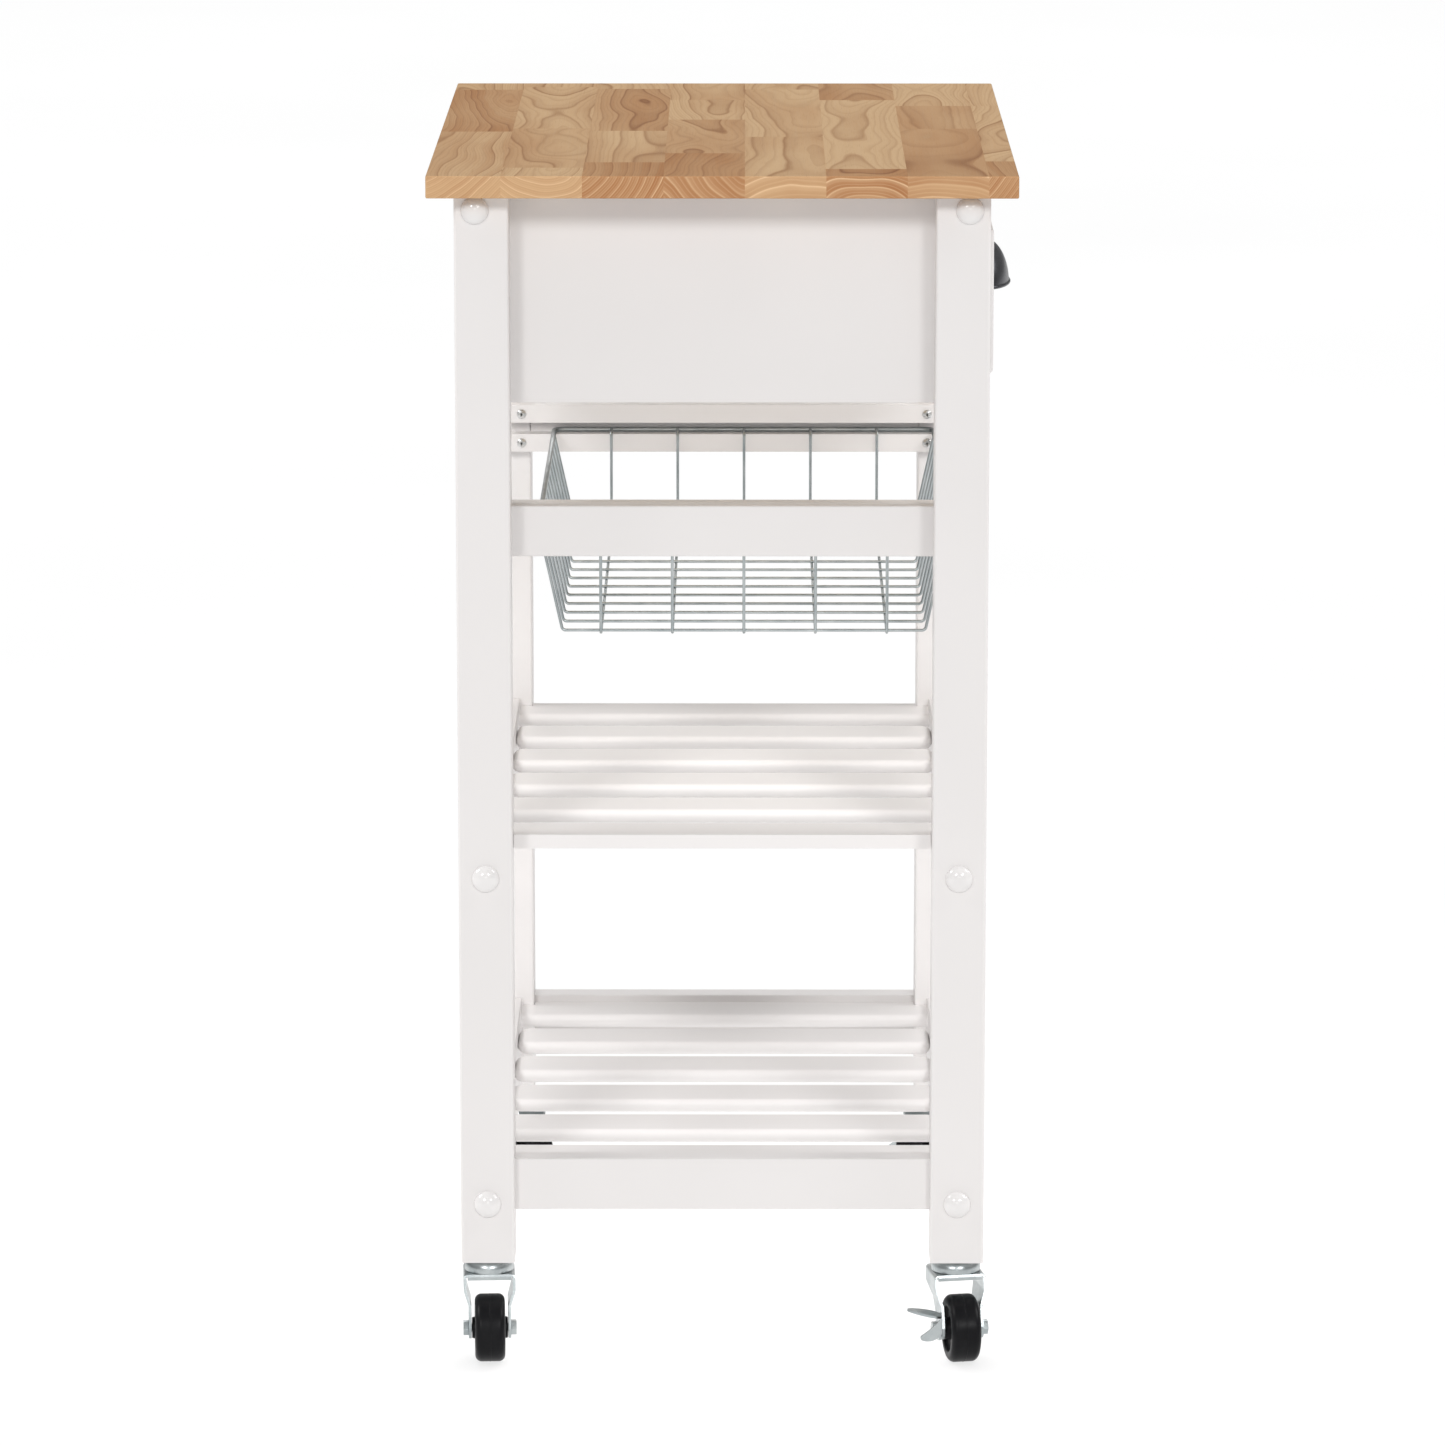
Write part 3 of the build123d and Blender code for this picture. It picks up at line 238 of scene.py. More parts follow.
broad_light("floor_light", (0.0, 0.0, -1.0), 2.47, 30.0, lit_only=[floor])
broad_light("left", (0.0, -0.72, -0.68), 1.43, 25.0)
broad_light("right", (0.0, 0.72, -0.68), 1.33, 25.0)
broad_light("front_left", (0.84, -0.31, -0.44), 0.76, 12.0)
broad_light("front_right", (0.84, 0.31, -0.44), 0.7, 12.0)
broad_light("fill", (0.99, 0.03, -0.13), 0.08, 10.0)
print("six broad lights")

# %% [markdown]
# ## White paint
# The boards are sprayed with a warm white satin paint. Seen close, the wood's grain still shows
# through as long shallow ridges, and the sprayed coat has a fine orange-peel skin. A picture of
# painted wood would need every board to be unwrapped. Noise on Object coordinates fits any board as
# it is. Boards run in three directions, so the same recipe is stretched along each of them.

# %% White paint
PAINT_TONES = ((0.745, 0.722, 0.713, 1), (0.765, 0.742, 0.733, 1))
PAINT_GLOSS = (0.36, 0.44)
PEEL_DEPTH = 0.006 * MM
FIBRE_DEPTH = 0.012 * MM


def stretch_along(axis, lengthways, across):
    """Pattern scales that draw a pattern out along one axis."""
    return tuple(lengthways if name == axis else across for name in "xyz")


def white_paint(name, stretch):
    material, tree, shader = start_finish(name, IOR=1.46)
    around = place_on(tree)
    clouds = spread(tree, noise(tree, around, scale=7.0), 0.0, 1.0)
    peel = noise(tree, around, scale=1100.0, detail=2.0)
    fibres = noise(tree, place_on(tree, stretch), scale=1.0, detail=5.0)
    connect(
        tree,
        shader,
        Base_Color=blend_colours(tree, clouds, *PAINT_TONES),
        Roughness=spread(tree, peel, *PAINT_GLOSS),
        Normal=relief(tree, peel, PEEL_DEPTH, below=relief(tree, fibres, FIBRE_DEPTH)),
    )
    return material


paint_along = {}
for axis in "xyz":
    paint_along[axis] = white_paint("white_paint_" + axis, stretch_along(axis, 5.0, 240.0))
print("paint for boards along", ", ".join(paint_along))

# %% [markdown]
# ## Zinc, steel, pewter and plastic
# The basket and casters are zinc plated: a cool grey metal with faint cloudy patches. The pull is
# dark cast metal, the caps are glossy moulded plastic and the wheels are satin black. Five separate
# trees would mostly repeat each other, so one recipe makes them all: a coarse noise tints the
# colour, and a fine one varies the gloss and the bump.


# %% Metal and plastic
def mottled(name, dark, light, gloss, patch, grain, depth, **constants):
    """A finish with faint patches and a fine grain, whose noises have a scale and a detail."""
    material, tree, shader = start_finish(name, **constants)
    around = place_on(tree)
    patches = spread(tree, noise(tree, around, *patch), 0.0, 1.0)
    fine = noise(tree, around, *grain)
    connect(
        tree,
        shader,
        Base_Color=blend_colours(tree, patches, dark, light),
        Roughness=spread(tree, fine, *gloss),
        Normal=relief(tree, fine, depth),
    )
    return material


METAL = {"patch": (60.0, 4.0), "grain": (1500.0, 2.0), "depth": 0.012 * MM, "Metallic": 1.0}
PLASTIC = {"patch": (45.0, 3.0), "grain": (1800.0, 3.0)}
TYRE = {"depth": 0.02 * MM, "Specular_IOR_Level": 0.11}
CAP = {"depth": 0.004 * MM, "Coat_Weight": 0.3}

zinc = mottled("zinc_plate", (0.36, 0.40, 0.41, 1), (0.52, 0.555, 0.56, 1), (0.26, 0.4), **METAL)
steel = mottled("plated_steel", (0.60, 0.60, 0.59, 1), (0.72, 0.72, 0.71, 1), (0.25, 0.4), **METAL)
pewter = mottled(
    "dark_pewter", (0.072, 0.072, 0.079, 1), (0.115, 0.115, 0.125, 1), (0.26, 0.4), **METAL
)
tyre_black = mottled(
    "black_wheel", (0.005, 0.005, 0.006, 1), (0.009, 0.009, 0.01, 1), (0.3, 0.42), **PLASTIC, **TYRE
)
cap_plastic = mottled(
    "white_cap", (0.74, 0.722, 0.715, 1), (0.77, 0.752, 0.745, 1), (0.08, 0.16), **PLASTIC, **CAP
)
print("finishes:", ", ".join(m.name for m in (zinc, steel, pewter, tyre_black, cap_plastic)))

# %% [markdown]
# ## Butcher block
# The worktop is glued up from short blocks of rubberwood. Each block is a small piece of a log, so
# its end shows arcs of growth rings and its faces show the same rings cut lengthways. A solid
# texture gives both at once: every point's distance from the block's own pith decides its ring.
# The pith and the tone are stored on each block's faces as attributes, and so is which faces are
# end grain, because there the rings are pale lines on a warm field, and on the top they are dark.

# %% Growth rings
RING_WIDTHS = (3.6 * MM, 9.5 * MM)
PITH_SWINGS = (30.0 * MM, 85.0 * MM)
RING_START = 0.16
RING_RAMP = ((0.1, 0.0), (0.5, 0.08), (0.82, 0.34), (0.94, 1.0))
LINES_PER_RING = 3.0
BLOCK_SHIFT = (31.0, 17.0, 23.0)
CALM_SEED, YEAR_SEED = 53.0, 97.0


def attribute(tree, name, output="Fac"):
    return add(tree, "ShaderNodeAttribute", attribute_name=name).outputs[output]


def chance(tree, value):
    """A number from 0 to 1 that looks random and is always the same for the same value."""
    drawn = add(tree, "ShaderNodeTexWhiteNoise", {"W": value}, noise_dimensions="1D")
    return drawn.outputs["Value"]


def own_place(tree, seed, stretch):
    """Object coordinates moved apart for each block, so that no two blocks share a pattern."""
    return vector_calc(tree, "ADD", place_on(tree, stretch), scaled(tree, BLOCK_SHIFT, seed))


def distance_from_pith(tree, seed):
    """How far a point is from its block's pith, which wanders a little along the log."""
    here = add(tree, "ShaderNodeTexCoord").outputs["Object"]
    place = own_place(tree, seed, stretch_along("x", 3.2, 8.0))
    wander = {"Vector": place, "Scale": 1.0, "Detail": 2.5, "Roughness": 0.45}
    drift = add(tree, "ShaderNodeTexNoise", wander).outputs["Color"]
    centred = vector_calc(tree, "SUBTRACT", drift, (0.5, 0.5, 0.5))
    reach = between(tree, chance(tree, calc(tree, "MULTIPLY", seed, CALM_SEED)), *PITH_SWINGS)
    from_pith = vector_calc(tree, "SUBTRACT", here, attribute(tree, "pith", "Vector"))
    swung = vector_calc(tree, "ADD", from_pith, scaled(tree, centred, reach))
    across = vector_calc(tree, "MULTIPLY", swung, (0.0, 1.0, 1.0))
    return add(tree, "ShaderNodeVectorMath", {0: across}, operation="LENGTH").outputs["Value"]


def ring_pattern(tree, seed):
    """The strength of the ring lines at a point, and the tone of the year that it grew in."""
    rings = calc(tree, "DIVIDE", distance_from_pith(tree, seed), between(tree, seed, *RING_WIDTHS))
    year = calc(tree, "ADD", calc(tree, "FLOOR", rings), calc(tree, "MULTIPLY", seed, YEAR_SEED))
    strength = chance(tree, year)
    ramp = add(tree, "ShaderNodeValToRGB", {"Fac": calc(tree, "FRACT", rings)})
    for end in ramp.color_ramp.elements:
        end.color = (RING_START, RING_START, RING_START, 1)
    for position, level in RING_RAMP:
        ramp.color_ramp.elements.new(position).color = (level, level, level, 1)
    bold = calc(tree, "MULTIPLY", ramp.outputs["Color"], between(tree, strength, 0.3, 1.0))
    fine = calc(tree, "FRACT", calc(tree, "MULTIPLY", rings, LINES_PER_RING))
    lines = calc(tree, "MAXIMUM", bold, spread(tree, fine, 0.0, 0.3, 0.55, 1.0))
    return lines, between(tree, strength, -0.16, 0.16)


print("rings", " to ".join(str(round(width / MM, 1)) for width in RING_WIDTHS), "mm wide")

# %% [markdown]
# The colours go on in layers, each mixed over the one before: the rings, fibres and pores of the
# long grain, and the paler rings of the end grain. Their main colours follow the block's own tone,
# so the same tree makes pale and dark blocks.

# %% Butcher-block finish
EARLY_TONES = ((0.585, 0.393, 0.218, 1), (0.395, 0.19, 0.078, 1))
LATE_TONES = ((0.33, 0.172, 0.078, 1), (0.225, 0.092, 0.036, 1))
END_TONES = ((0.565, 0.345, 0.178, 1), (0.39, 0.168, 0.064, 1))
END_LINE = (0.78, 0.53, 0.31, 1)
PORE = (0.20, 0.09, 0.035, 1)
WOOD_GLOSS = (0.5, 0.62)
GRAIN_DEPTH = 0.02 * MM


def butcher_block(name):
    material, tree, shader = start_finish(name, Specular_IOR_Level=0.22)
    seed = attribute(tree, "seed")
    rings, year_tone = ring_pattern(tree, seed)
    wide = noise(tree, own_place(tree, seed, stretch_along("x", 5.0, 20.0)), scale=1.0)
    clouds = calc(tree, "ADD", spread(tree, wide, -0.2, 0.2), year_tone)
    mood = calc(tree, "ADD", attribute(tree, "tone"), clouds, clamp=True)
    late = blend_colours(tree, mood, *LATE_TONES)
    ringed = blend_colours(tree, rings, blend_colours(tree, mood, *EARLY_TONES), late)
    fibres = noise(tree, place_on(tree, stretch_along("x", 9.0, 420.0)), scale=1.0)
    streaked = blend_colours(tree, spread(tree, fibres, 0.0, 0.05), ringed, late)
    pore_place = place_on(tree, stretch_along("x", 45.0, 1300.0))
    pores = noise(tree, pore_place, scale=1.0, detail=2.0)
    porous = blend_colours(tree, spread(tree, pores, 0.0, 0.18, 0.6, 0.72), streaked, PORE)
    end_field = blend_colours(tree, mood, *END_TONES)
    end_ringed = blend_colours(tree, rings, end_field, END_LINE)
    connect(
        tree,
        shader,
        Base_Color=blend_colours(tree, attribute(tree, "end_grain"), porous, end_ringed),
        Roughness=spread(tree, fibres, *WOOD_GLOSS),
        Normal=relief(tree, pores, GRAIN_DEPTH, below=relief(tree, fibres, GRAIN_DEPTH)),
    )
    return material


rubberwood = butcher_block("butcher_block")
print("butcher-block finish reads the attributes pith, tone, seed and end_grain")

# %% [markdown]
# Hidden wood, such as the drawer box and the cleats, is bare and pale, with straight quiet grain.
# Growth rings would be too lively for it. A noise that is drawn out along the board is enough, as
# it was for the paint.

# %% Plain wood
BARE_TONES = ((0.77, 0.65, 0.50, 1), (0.68, 0.55, 0.40, 1))
BARE_GLOSS = (0.5, 0.65)
BARE_DEPTH = 0.04 * MM


def plain_wood(name, stretch):
    material, tree, shader = start_finish(name)
    grain = noise(tree, place_on(tree, stretch), scale=1.0, detail=5.0)
    fine = noise(tree, place_on(tree, tuple(6 * s for s in stretch)), scale=1.0, detail=2.0)
    connect(
        tree,
        shader,
        Base_Color=blend_colours(tree, spread(tree, grain, 0.0, 1.0), *BARE_TONES),
        Roughness=spread(tree, fine, *BARE_GLOSS),
        Normal=relief(tree, fine, BARE_DEPTH),
    )
    return material


bare_along = {}
for axis in "xy":
    bare_along[axis] = plain_wood("plain_wood_" + axis, stretch_along(axis, 4.0, 90.0))
print("plain wood along", ", ".join(bare_along))

# %% [markdown]
# ## Pieces
# A finished piece is a plain mesh whose place is in its points. One helper smooths it where its
# faces meet gently, another runs a modifier on it and keeps the result, and a third gives it its
# finish and hands it to the body that it moves with.


# %% Piece helpers
def smooth(mesh, sharp_degrees=35.0):
    mesh.shade_smooth()
    mesh.set_sharp_from_angle(angle=math.radians(sharp_degrees))


def run_modifier(mesh, kind, inputs=None, **settings):
    """The plain mesh that a modifier makes of a mesh; inputs are those of a node tree."""
    carrier = new_object("carrier", mesh)
    modifier = carrier.modifiers.new("shape", kind)
    for name, value in settings.items():
        setattr(modifier, name, value)
    for identifier, value in (inputs or {}).items():
        modifier[identifier] = value
    evaluated = carrier.evaluated_get(bpy.context.evaluated_depsgraph_get())
    result = bpy.data.meshes.new_from_object(evaluated)
    carrier.modifiers.remove(modifier)
    bpy.data.objects.remove(carrier)
    result.name = mesh.name
    return result


def flats_kept(mesh, sharp_degrees=35.0):
    """A smoothed copy whose flat faces stay flat, because larger faces count more."""
    smooth(mesh, sharp_degrees)
    return run_modifier(mesh, "WEIGHTED_NORMAL", keep_sharp=True)


def add_piece(name, mesh, material, slot, body, *nodes):
    """Puts a mesh in the scene on a body, in place of the CAD nodes that it stands for."""
    if not mesh.materials:
        mesh.materials.append(material)
    piece = new_object(name, mesh)
    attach(piece, body)
    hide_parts(*nodes)
    return piece


def mesh_from(name, shell, turn_outwards=True):
    """A mesh from a bmesh, with its normals turned outwards unless they are right already."""
    if turn_outwards:
        bmesh.ops.recalc_face_normals(shell, faces=shell.faces)
    mesh = bpy.data.meshes.new(name)
    shell.to_mesh(mesh)
    shell.free()
    return mesh


print("piece helpers ready")

# %% [markdown]
# ## Worktop
# The blocks lie in strips along the top, with staggered joints. One slab with painted lines would
# look flat from close by, so each block is a closed shape of its own: a stack of outlines, set in a
# hair's breadth at its glue lines and by the real rounding where the block is on the outside of the
# worktop. The arcs on the ends of the blocks that face the camera tell where their pith lies.

# %% Wood blocks
top_low, top_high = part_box("table_top")
GLUE_CHAMFER = 0.12 * MM
EDGE_ROUNDING = 1.0 * MM
CORNER_ROUNDING = 1.5 * MM
ROUNDING_STEPS = 4


def quarter_turn(step):
    return math.pi / 2 * step / ROUNDING_STEPS


def block_loop(low, high, outside, set_in, glue_in):
    """A block's outline from above; outside says which of its four sides are the worktop's."""
    insets = [set_in if side else glue_in for side in outside]
    x0, y0 = low[0] + insets[0], low[1] + insets[1]
    x1, y1 = high[0] - insets[2], high[1] - insets[3]
    radius = CORNER_ROUNDING - set_in
    corners = ((x0, y0, (0, 1)), (x1, y0, (1, 2)), (x1, y1, (2, 3)), (x0, y1, (3, 0)))
    loop = []
    for turn, (x, y, sides) in enumerate(corners):
        if not all(outside[side] for side in sides):
            loop.append((x, y))
            continue
        middle = (x + radius * (1 if x == x0 else -1), y + radius * (1 if y == y0 else -1))
        for step in range(ROUNDING_STEPS + 1):
            angle = math.pi + math.pi / 2 * turn + quarter_turn(step)
            dx, dy = radius * math.cos(angle), radius * math.sin(angle)
            loop.append((middle[0] + dx, middle[1] + dy))
    return loop


def wood_block(low, high, outside):
    """Points and faces of one block: outlines stacked from its underside to its top."""
    levels = [(0.0, EDGE_ROUNDING, GLUE_CHAMFER)]
    for step in range(1, ROUNDING_STEPS + 1):
        rise, set_in = 1 - math.cos(quarter_turn(step)), 1 - math.sin(quarter_turn(step))
        levels.append((EDGE_ROUNDING * rise, EDGE_ROUNDING * set_in, 0.0))
    stack = [(top_low.z + rise, set_in, glue_in) for rise, set_in, glue_in in levels]
    stack += [(top_high.z - rise, set_in, glue_in) for rise, set_in, glue_in in reversed(levels)]
    points = []
    for z, set_in, glue_in in stack:
        loop = block_loop(low, high, outside, set_in, glue_in)
        points += [(x, y, z) for x, y in loop]
    count = len(loop)
    faces = [list(reversed(range(count)))]
    for start in range(0, len(points) - count, count):
        for i in range(count):
            j = (i + 1) % count
            faces.append([start + i, start + j, start + count + j, start + count + i])
    faces.append(list(range(len(points) - count, len(points))))
    return points, faces


print("blocks", round((top_high.z - top_low.z) / MM, 1), "mm thick")

# %% [markdown]
# Strips and joints are listed, and each block has a tone from pale to dark. A fixed seed draws
# the pith of the blocks that don't face the camera, so every run gives the same worktop.

# %% Worktop
STRIP_EDGES = (-210.0, -188.8, -131.2, -73.6, -16.0, 41.6, 99.2, 156.8, 210.0)
STRIP_JOINTS = (
    (-204, 137),
    (-9, 137),
    (-248, 175),
    (-59, 246),
    (-157, 48, 175),
    (-210, -22, 250),
    (-241, -8, 262),
    (-27, 244),
)
STRIP_TONES = (
    (0.85, 0.15, 0.2),
    (0.45, 0.55, 0.15),
    (0.8, 0.08, 0.7),
    (0.15, 0.2, 0.1),
    (0.8, 0.55, 0.15, 0.1),
    (0.75, 0.15, 0.55, 0.1),
    (0.1, 0.3, 0.15, 0.1),
    (0.25, 0.75, 0.1),
)
NEAR_PITHS = ((40, 40), (20, -95), (0, -34), (-12, -58), (-45, 42), (52, 40), (0, 24), (34, 40))
PITH_SIDEWAYS = 35
PITH_ABOVE_OR_BELOW = (22, 60)
END_GRAIN_SLOPE = 0.7
BLOCK_SHARP = 50.0
luck = random.Random(7)


def worktop_mesh():
    """All the blocks in one mesh, with each block's pith, tone and seed on its faces."""
    points, faces, piths, tones, seeds = [], [], [], [], []
    for strip, (joints, strip_tones) in enumerate(zip(STRIP_JOINTS, STRIP_TONES)):
        near_y, far_y = STRIP_EDGES[strip] * MM, STRIP_EDGES[strip + 1] * MM
        ends = [top_low.x] + [x * MM for x in joints] + [top_high.x]
        first_strip, last_strip = strip == 0, strip == len(STRIP_JOINTS) - 1
        for index, tone in enumerate(strip_tones):
            outside = (index == 0, first_strip, index == len(joints), last_strip)
            low, high = (ends[index], near_y), (ends[index + 1], far_y)
            block_points, block_faces = wood_block(low, high, outside)
            away = luck.choice((-1, 1))
            dy = luck.uniform(-PITH_SIDEWAYS, PITH_SIDEWAYS)
            dz = away * luck.uniform(*PITH_ABOVE_OR_BELOW)
            if index == 0:
                dy, dz = NEAR_PITHS[strip]
            middle_y, middle_z = (near_y + far_y) / 2, (top_low.z + top_high.z) / 2
            pith = (0.0, middle_y + dy * MM, middle_z + dz * MM)
            seed = luck.random()
            start = len(points)
            points += block_points
            faces += [[start + corner for corner in face] for face in block_faces]
            piths += [pith] * len(block_faces)
            tones += [tone] * len(block_faces)
            seeds += [seed] * len(block_faces)
    mesh = bpy.data.meshes.new("worktop")
    mesh.from_pydata(points, [], faces)
    ends_on = [1.0 if abs(face.normal.x) > END_GRAIN_SLOPE else 0.0 for face in mesh.polygons]
    pith_layer = mesh.attributes.new("pith", "FLOAT_VECTOR", "FACE")
    pith_layer.data.foreach_set("vector", [c for pith in piths for c in pith])
    for label, values in (("tone", tones), ("seed", seeds), ("end_grain", ends_on)):
        mesh.attributes.new(label, "FLOAT", "FACE").data.foreach_set("value", values)
    return mesh


worktop_shape = flats_kept(worktop_mesh(), BLOCK_SHARP)
worktop = add_piece("worktop", worktop_shape, rubberwood, "butcher_block", "frame", "table_top")
block_count = sum(len(tones) for tones in STRIP_TONES)
print("worktop of", block_count, "blocks,", len(worktop_shape.polygons), "faces")

# %% [markdown]
# ## Growing pieces with Geometry Nodes
# Slats, wires, caps and screws repeat, so each kind is one node tree with its sizes as named
# inputs. A tree runs on a small start mesh; its result is turned into a plain mesh at once.


# %% Geometry Nodes helpers
def new_tree(name, **sizes):
    """An empty tree with a geometry input and one named input for each size."""
    tree = bpy.data.node_groups.new(name, "GeometryNodeTree")
    tree.interface.new_socket("Start", in_out="INPUT", socket_type="NodeSocketGeometry")
    for label, value in sizes.items():
        kind = "NodeSocketInt" if isinstance(value, int) else "NodeSocketFloat"
        tree.interface.new_socket(label, in_out="INPUT", socket_type=kind).default_value = value
    tree.interface.new_socket("Pieces", in_out="OUTPUT", socket_type="NodeSocketGeometry")
    return tree, add(tree, "NodeGroupInput").outputs


def end_tree(tree, geometry, material):
    real = add(tree, "GeometryNodeRealizeInstances", {"Geometry": geometry}).outputs[0]
    coated = add(tree, "GeometryNodeSetMaterial", {"Geometry": real, "Material": material})
    add(tree, "NodeGroupOutput", {0: coated.outputs[0]})


def grow(name, tree, start, **sizes):
    """Runs a tree on a start mesh with these sizes and gives the plain mesh that it makes."""
    sockets = [item for item in tree.interface.items_tree if item.in_out == "INPUT"]
    inputs = {item.identifier: sizes[item.name] for item in sockets if item.name in sizes}
    mesh = run_modifier(start, "NODES", inputs, node_group=tree)
    mesh.name = name
    return mesh


def dots(points, **attributes):
    """A start mesh of loose points, with a vector attribute for each name given."""
    mesh = bpy.data.meshes.new("dots")
    mesh.from_pydata(points, [], [])
    for name, vectors in attributes.items():
        layer = mesh.attributes.new(name, "FLOAT_VECTOR", "POINT")
        layer.data.foreach_set("vector", [c for v in vectors for c in v])
    return mesh


def line_of(points):
    """A start mesh that is one open line of edges."""
    mesh = bpy.data.meshes.new("line")
    mesh.from_pydata(points, [(i, i + 1) for i in range(len(points) - 1)], [])
    return mesh


print("Geometry Nodes helpers ready")

# %% [markdown]
# Some steps come back in several trees: moving a geometry, sweeping a wire, rounding a rectangle
# and setting copies in a row. Each is a few nodes, so each gets a helper with a plain name.


# %% Steps that trees share
def half_of(tree, value):
    return calc(tree, "MULTIPLY", value, 0.5)


def vector(tree, **xyz):
    return add(tree, "ShaderNodeCombineXYZ", xyz).outputs[0]


def changed(tree, geometry, **change):
    """A geometry after a Translation or a Scale."""
    return add(tree, "GeometryNodeTransform", {"Geometry": geometry, **change}).outputs[0]


def together(tree, *geometries):
    node = add(tree, "GeometryNodeJoinGeometry")
    for geometry in geometries:
        tree.links.new(geometry, node.inputs[0])
    return node.outputs[0]


def rounded_plan(tree, width, height, corner, steps):
    """A rectangle with rounded corners, as a curve."""
    size = {"Width": width, "Height": height}
    plan = add(tree, "GeometryNodeCurvePrimitiveQuadrilateral", size).outputs[0]
    inputs = {"Curve": plan, "Radius": corner, "Count": steps}
    return add(tree, "GeometryNodeFilletCurve", inputs, mode="POLY").outputs[0]


def round_wire(tree, path, diameter, sides, close_ends):
    inputs = {"Resolution": sides, "Radius": half_of(tree, diameter)}
    section = add(tree, "GeometryNodeCurvePrimitiveCircle", inputs).outputs[0]
    inputs = {"Curve": path, "Profile Curve": section, "Fill Caps": close_ends}
    return add(tree, "GeometryNodeCurveToMesh", inputs).outputs[0]


def centred_row(tree, geometry, count, step):
    """Copies of a geometry at equal steps, with the middle of the row at the origin."""
    half_row = calc(tree, "MULTIPLY", calc(tree, "SUBTRACT", count, 1.0), -0.5)
    line = {"Count": count, "Start Location": scaled(tree, step, half_row), "Offset": step}
    row = add(tree, "GeometryNodeMeshLine", line).outputs[0]
    inputs = {"Points": row, "Instance": geometry}
    return add(tree, "GeometryNodeInstanceOnPoints", inputs).outputs[0]


print("shared steps ready")

# %% [markdown]
# ## Shelf slats
# A slat's long edges are fully rounded, and so are its corners seen from above. A bevelled box
# pinches where such roundings meet. A half-round profile that is swept round a smaller rounded
# rectangle doesn't, and it only needs a flat face above and below to close it.

# %% Slat tree
SLAT_COUNT, SLAT_PITCH = 4, 88.0 * MM
SLAT = {"Width": 50.0 * MM, "Length": 323.0 * MM, "Thickness": 10.3 * MM, "Corner": 4.0 * MM}
SLAT_CORNER_STEPS = 5
SLAT_NOSE_POINTS = 11
MERGE_WITHIN = 0.01 * MM


def slat_tree():
    tree, size = new_tree("slat_row", Count=SLAT_COUNT, Pitch=SLAT_PITCH, Height=0.0, **SLAT)
    half = half_of(tree, size["Thickness"])
    inner_width = calc(tree, "SUBTRACT", size["Width"], size["Thickness"])
    inner_length = calc(tree, "SUBTRACT", size["Length"], size["Thickness"])
    plan = rounded_plan(tree, inner_width, inner_length, size["Corner"], SLAT_CORNER_STEPS)
    arc = {"Resolution": SLAT_NOSE_POINTS, "Radius": half}
    arc.update({"Start Angle": -math.pi / 2, "Sweep Angle": math.pi})
    nose = add(tree, "GeometryNodeCurveArc", arc).outputs[0]
    sweep = {"Curve": plan, "Profile Curve": nose}
    edge = add(tree, "GeometryNodeCurveToMesh", sweep).outputs[0]
    sheet = add(tree, "GeometryNodeFillCurve", {"Curve": plan}, mode="NGONS").outputs[0]
    above = changed(tree, sheet, Translation=vector(tree, Z=half))
    below = changed(tree, sheet, Translation=vector(tree, Z=calc(tree, "MULTIPLY", half, -1.0)))
    shell = {"Geometry": together(tree, edge, above, below), "Distance": MERGE_WITHIN}
    slat = add(tree, "GeometryNodeMergeByDistance", shell).outputs[0]
    raised = changed(tree, slat, Translation=vector(tree, Z=size["Height"]))
    row = centred_row(tree, raised, size["Count"], vector(tree, X=size["Pitch"]))
    end_tree(tree, row, paint_along["y"])
    return tree


slat_row = slat_tree()
print("slat tree with", len(slat_row.nodes), "nodes")

# %% [markdown]
# The two outer slats are different: they are square on the outside, where they meet the end of the
# shelf, and they are notched round the legs. Cutting round slats to fit would leave untidy faces,
# so they are drawn as prisms from their section.

# %% Shelves
SLAT_HALF = 161.5 * MM
SLAT_NOSE = 5.15 * MM
NOSE_STEPS = 12
END_SLAT_X = (195.0 * MM, 239.5 * MM)
NOTCH_X = 229.7 * MM
NOTCH_Y = 151.7 * MM


def nosed_prism(end, outer_x, y_range, height):
    """A bar along y that is square at outer_x and half round on its inner edge."""
    middle = END_SLAT_X[0] + SLAT_NOSE
    section = [(outer_x, -SLAT_NOSE), (outer_x, SLAT_NOSE)]
    for step in range(NOSE_STEPS + 1):
        angle = math.pi / 2 + math.pi * step / NOSE_STEPS
        section.append((middle + SLAT_NOSE * math.cos(angle), SLAT_NOSE * math.sin(angle)))
    bar = bmesh.new()
    rings = [[bar.verts.new((end * x, y, height + z)) for x, z in section] for y in y_range]
    for i in range(len(section)):
        j = (i + 1) % len(section)
        bar.faces.new((rings[0][i], rings[0][j], rings[1][j], rings[1][i]))
    bar.faces.new(rings[0])
    bar.faces.new(rings[1])
    return mesh_from("bar", bar)


def shelf(name, node):
    low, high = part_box(node)
    height = (low.z + high.z) / 2
    bars = [grow(name, slat_row, dots([(0, 0, 0)]), Height=height)]
    for end in (-1, 1):
        bars.append(nosed_prism(end, END_SLAT_X[1], (-NOTCH_Y, NOTCH_Y), height))
        bars.append(nosed_prism(end, NOTCH_X, (-SLAT_HALF, -NOTCH_Y), height))
        bars.append(nosed_prism(end, NOTCH_X, (NOTCH_Y, SLAT_HALF), height))
    shell = bmesh.new()
    for bar in bars:
        shell.from_mesh(bar)
    for face in shell.faces:
        face.material_index = 0
    slats = flats_kept(mesh_from(name, shell, turn_outwards=False))
    print(name, "has", len(slats.polygons), "faces, at height", round(height, 4))
    return add_piece(name, slats, paint_along["y"], "white_paint", "frame", node)


mid_slats = shelf("mid_slats", "mid_shelf_slats")
lower_slats = shelf("lower_slats", "lower_shelf_slats")

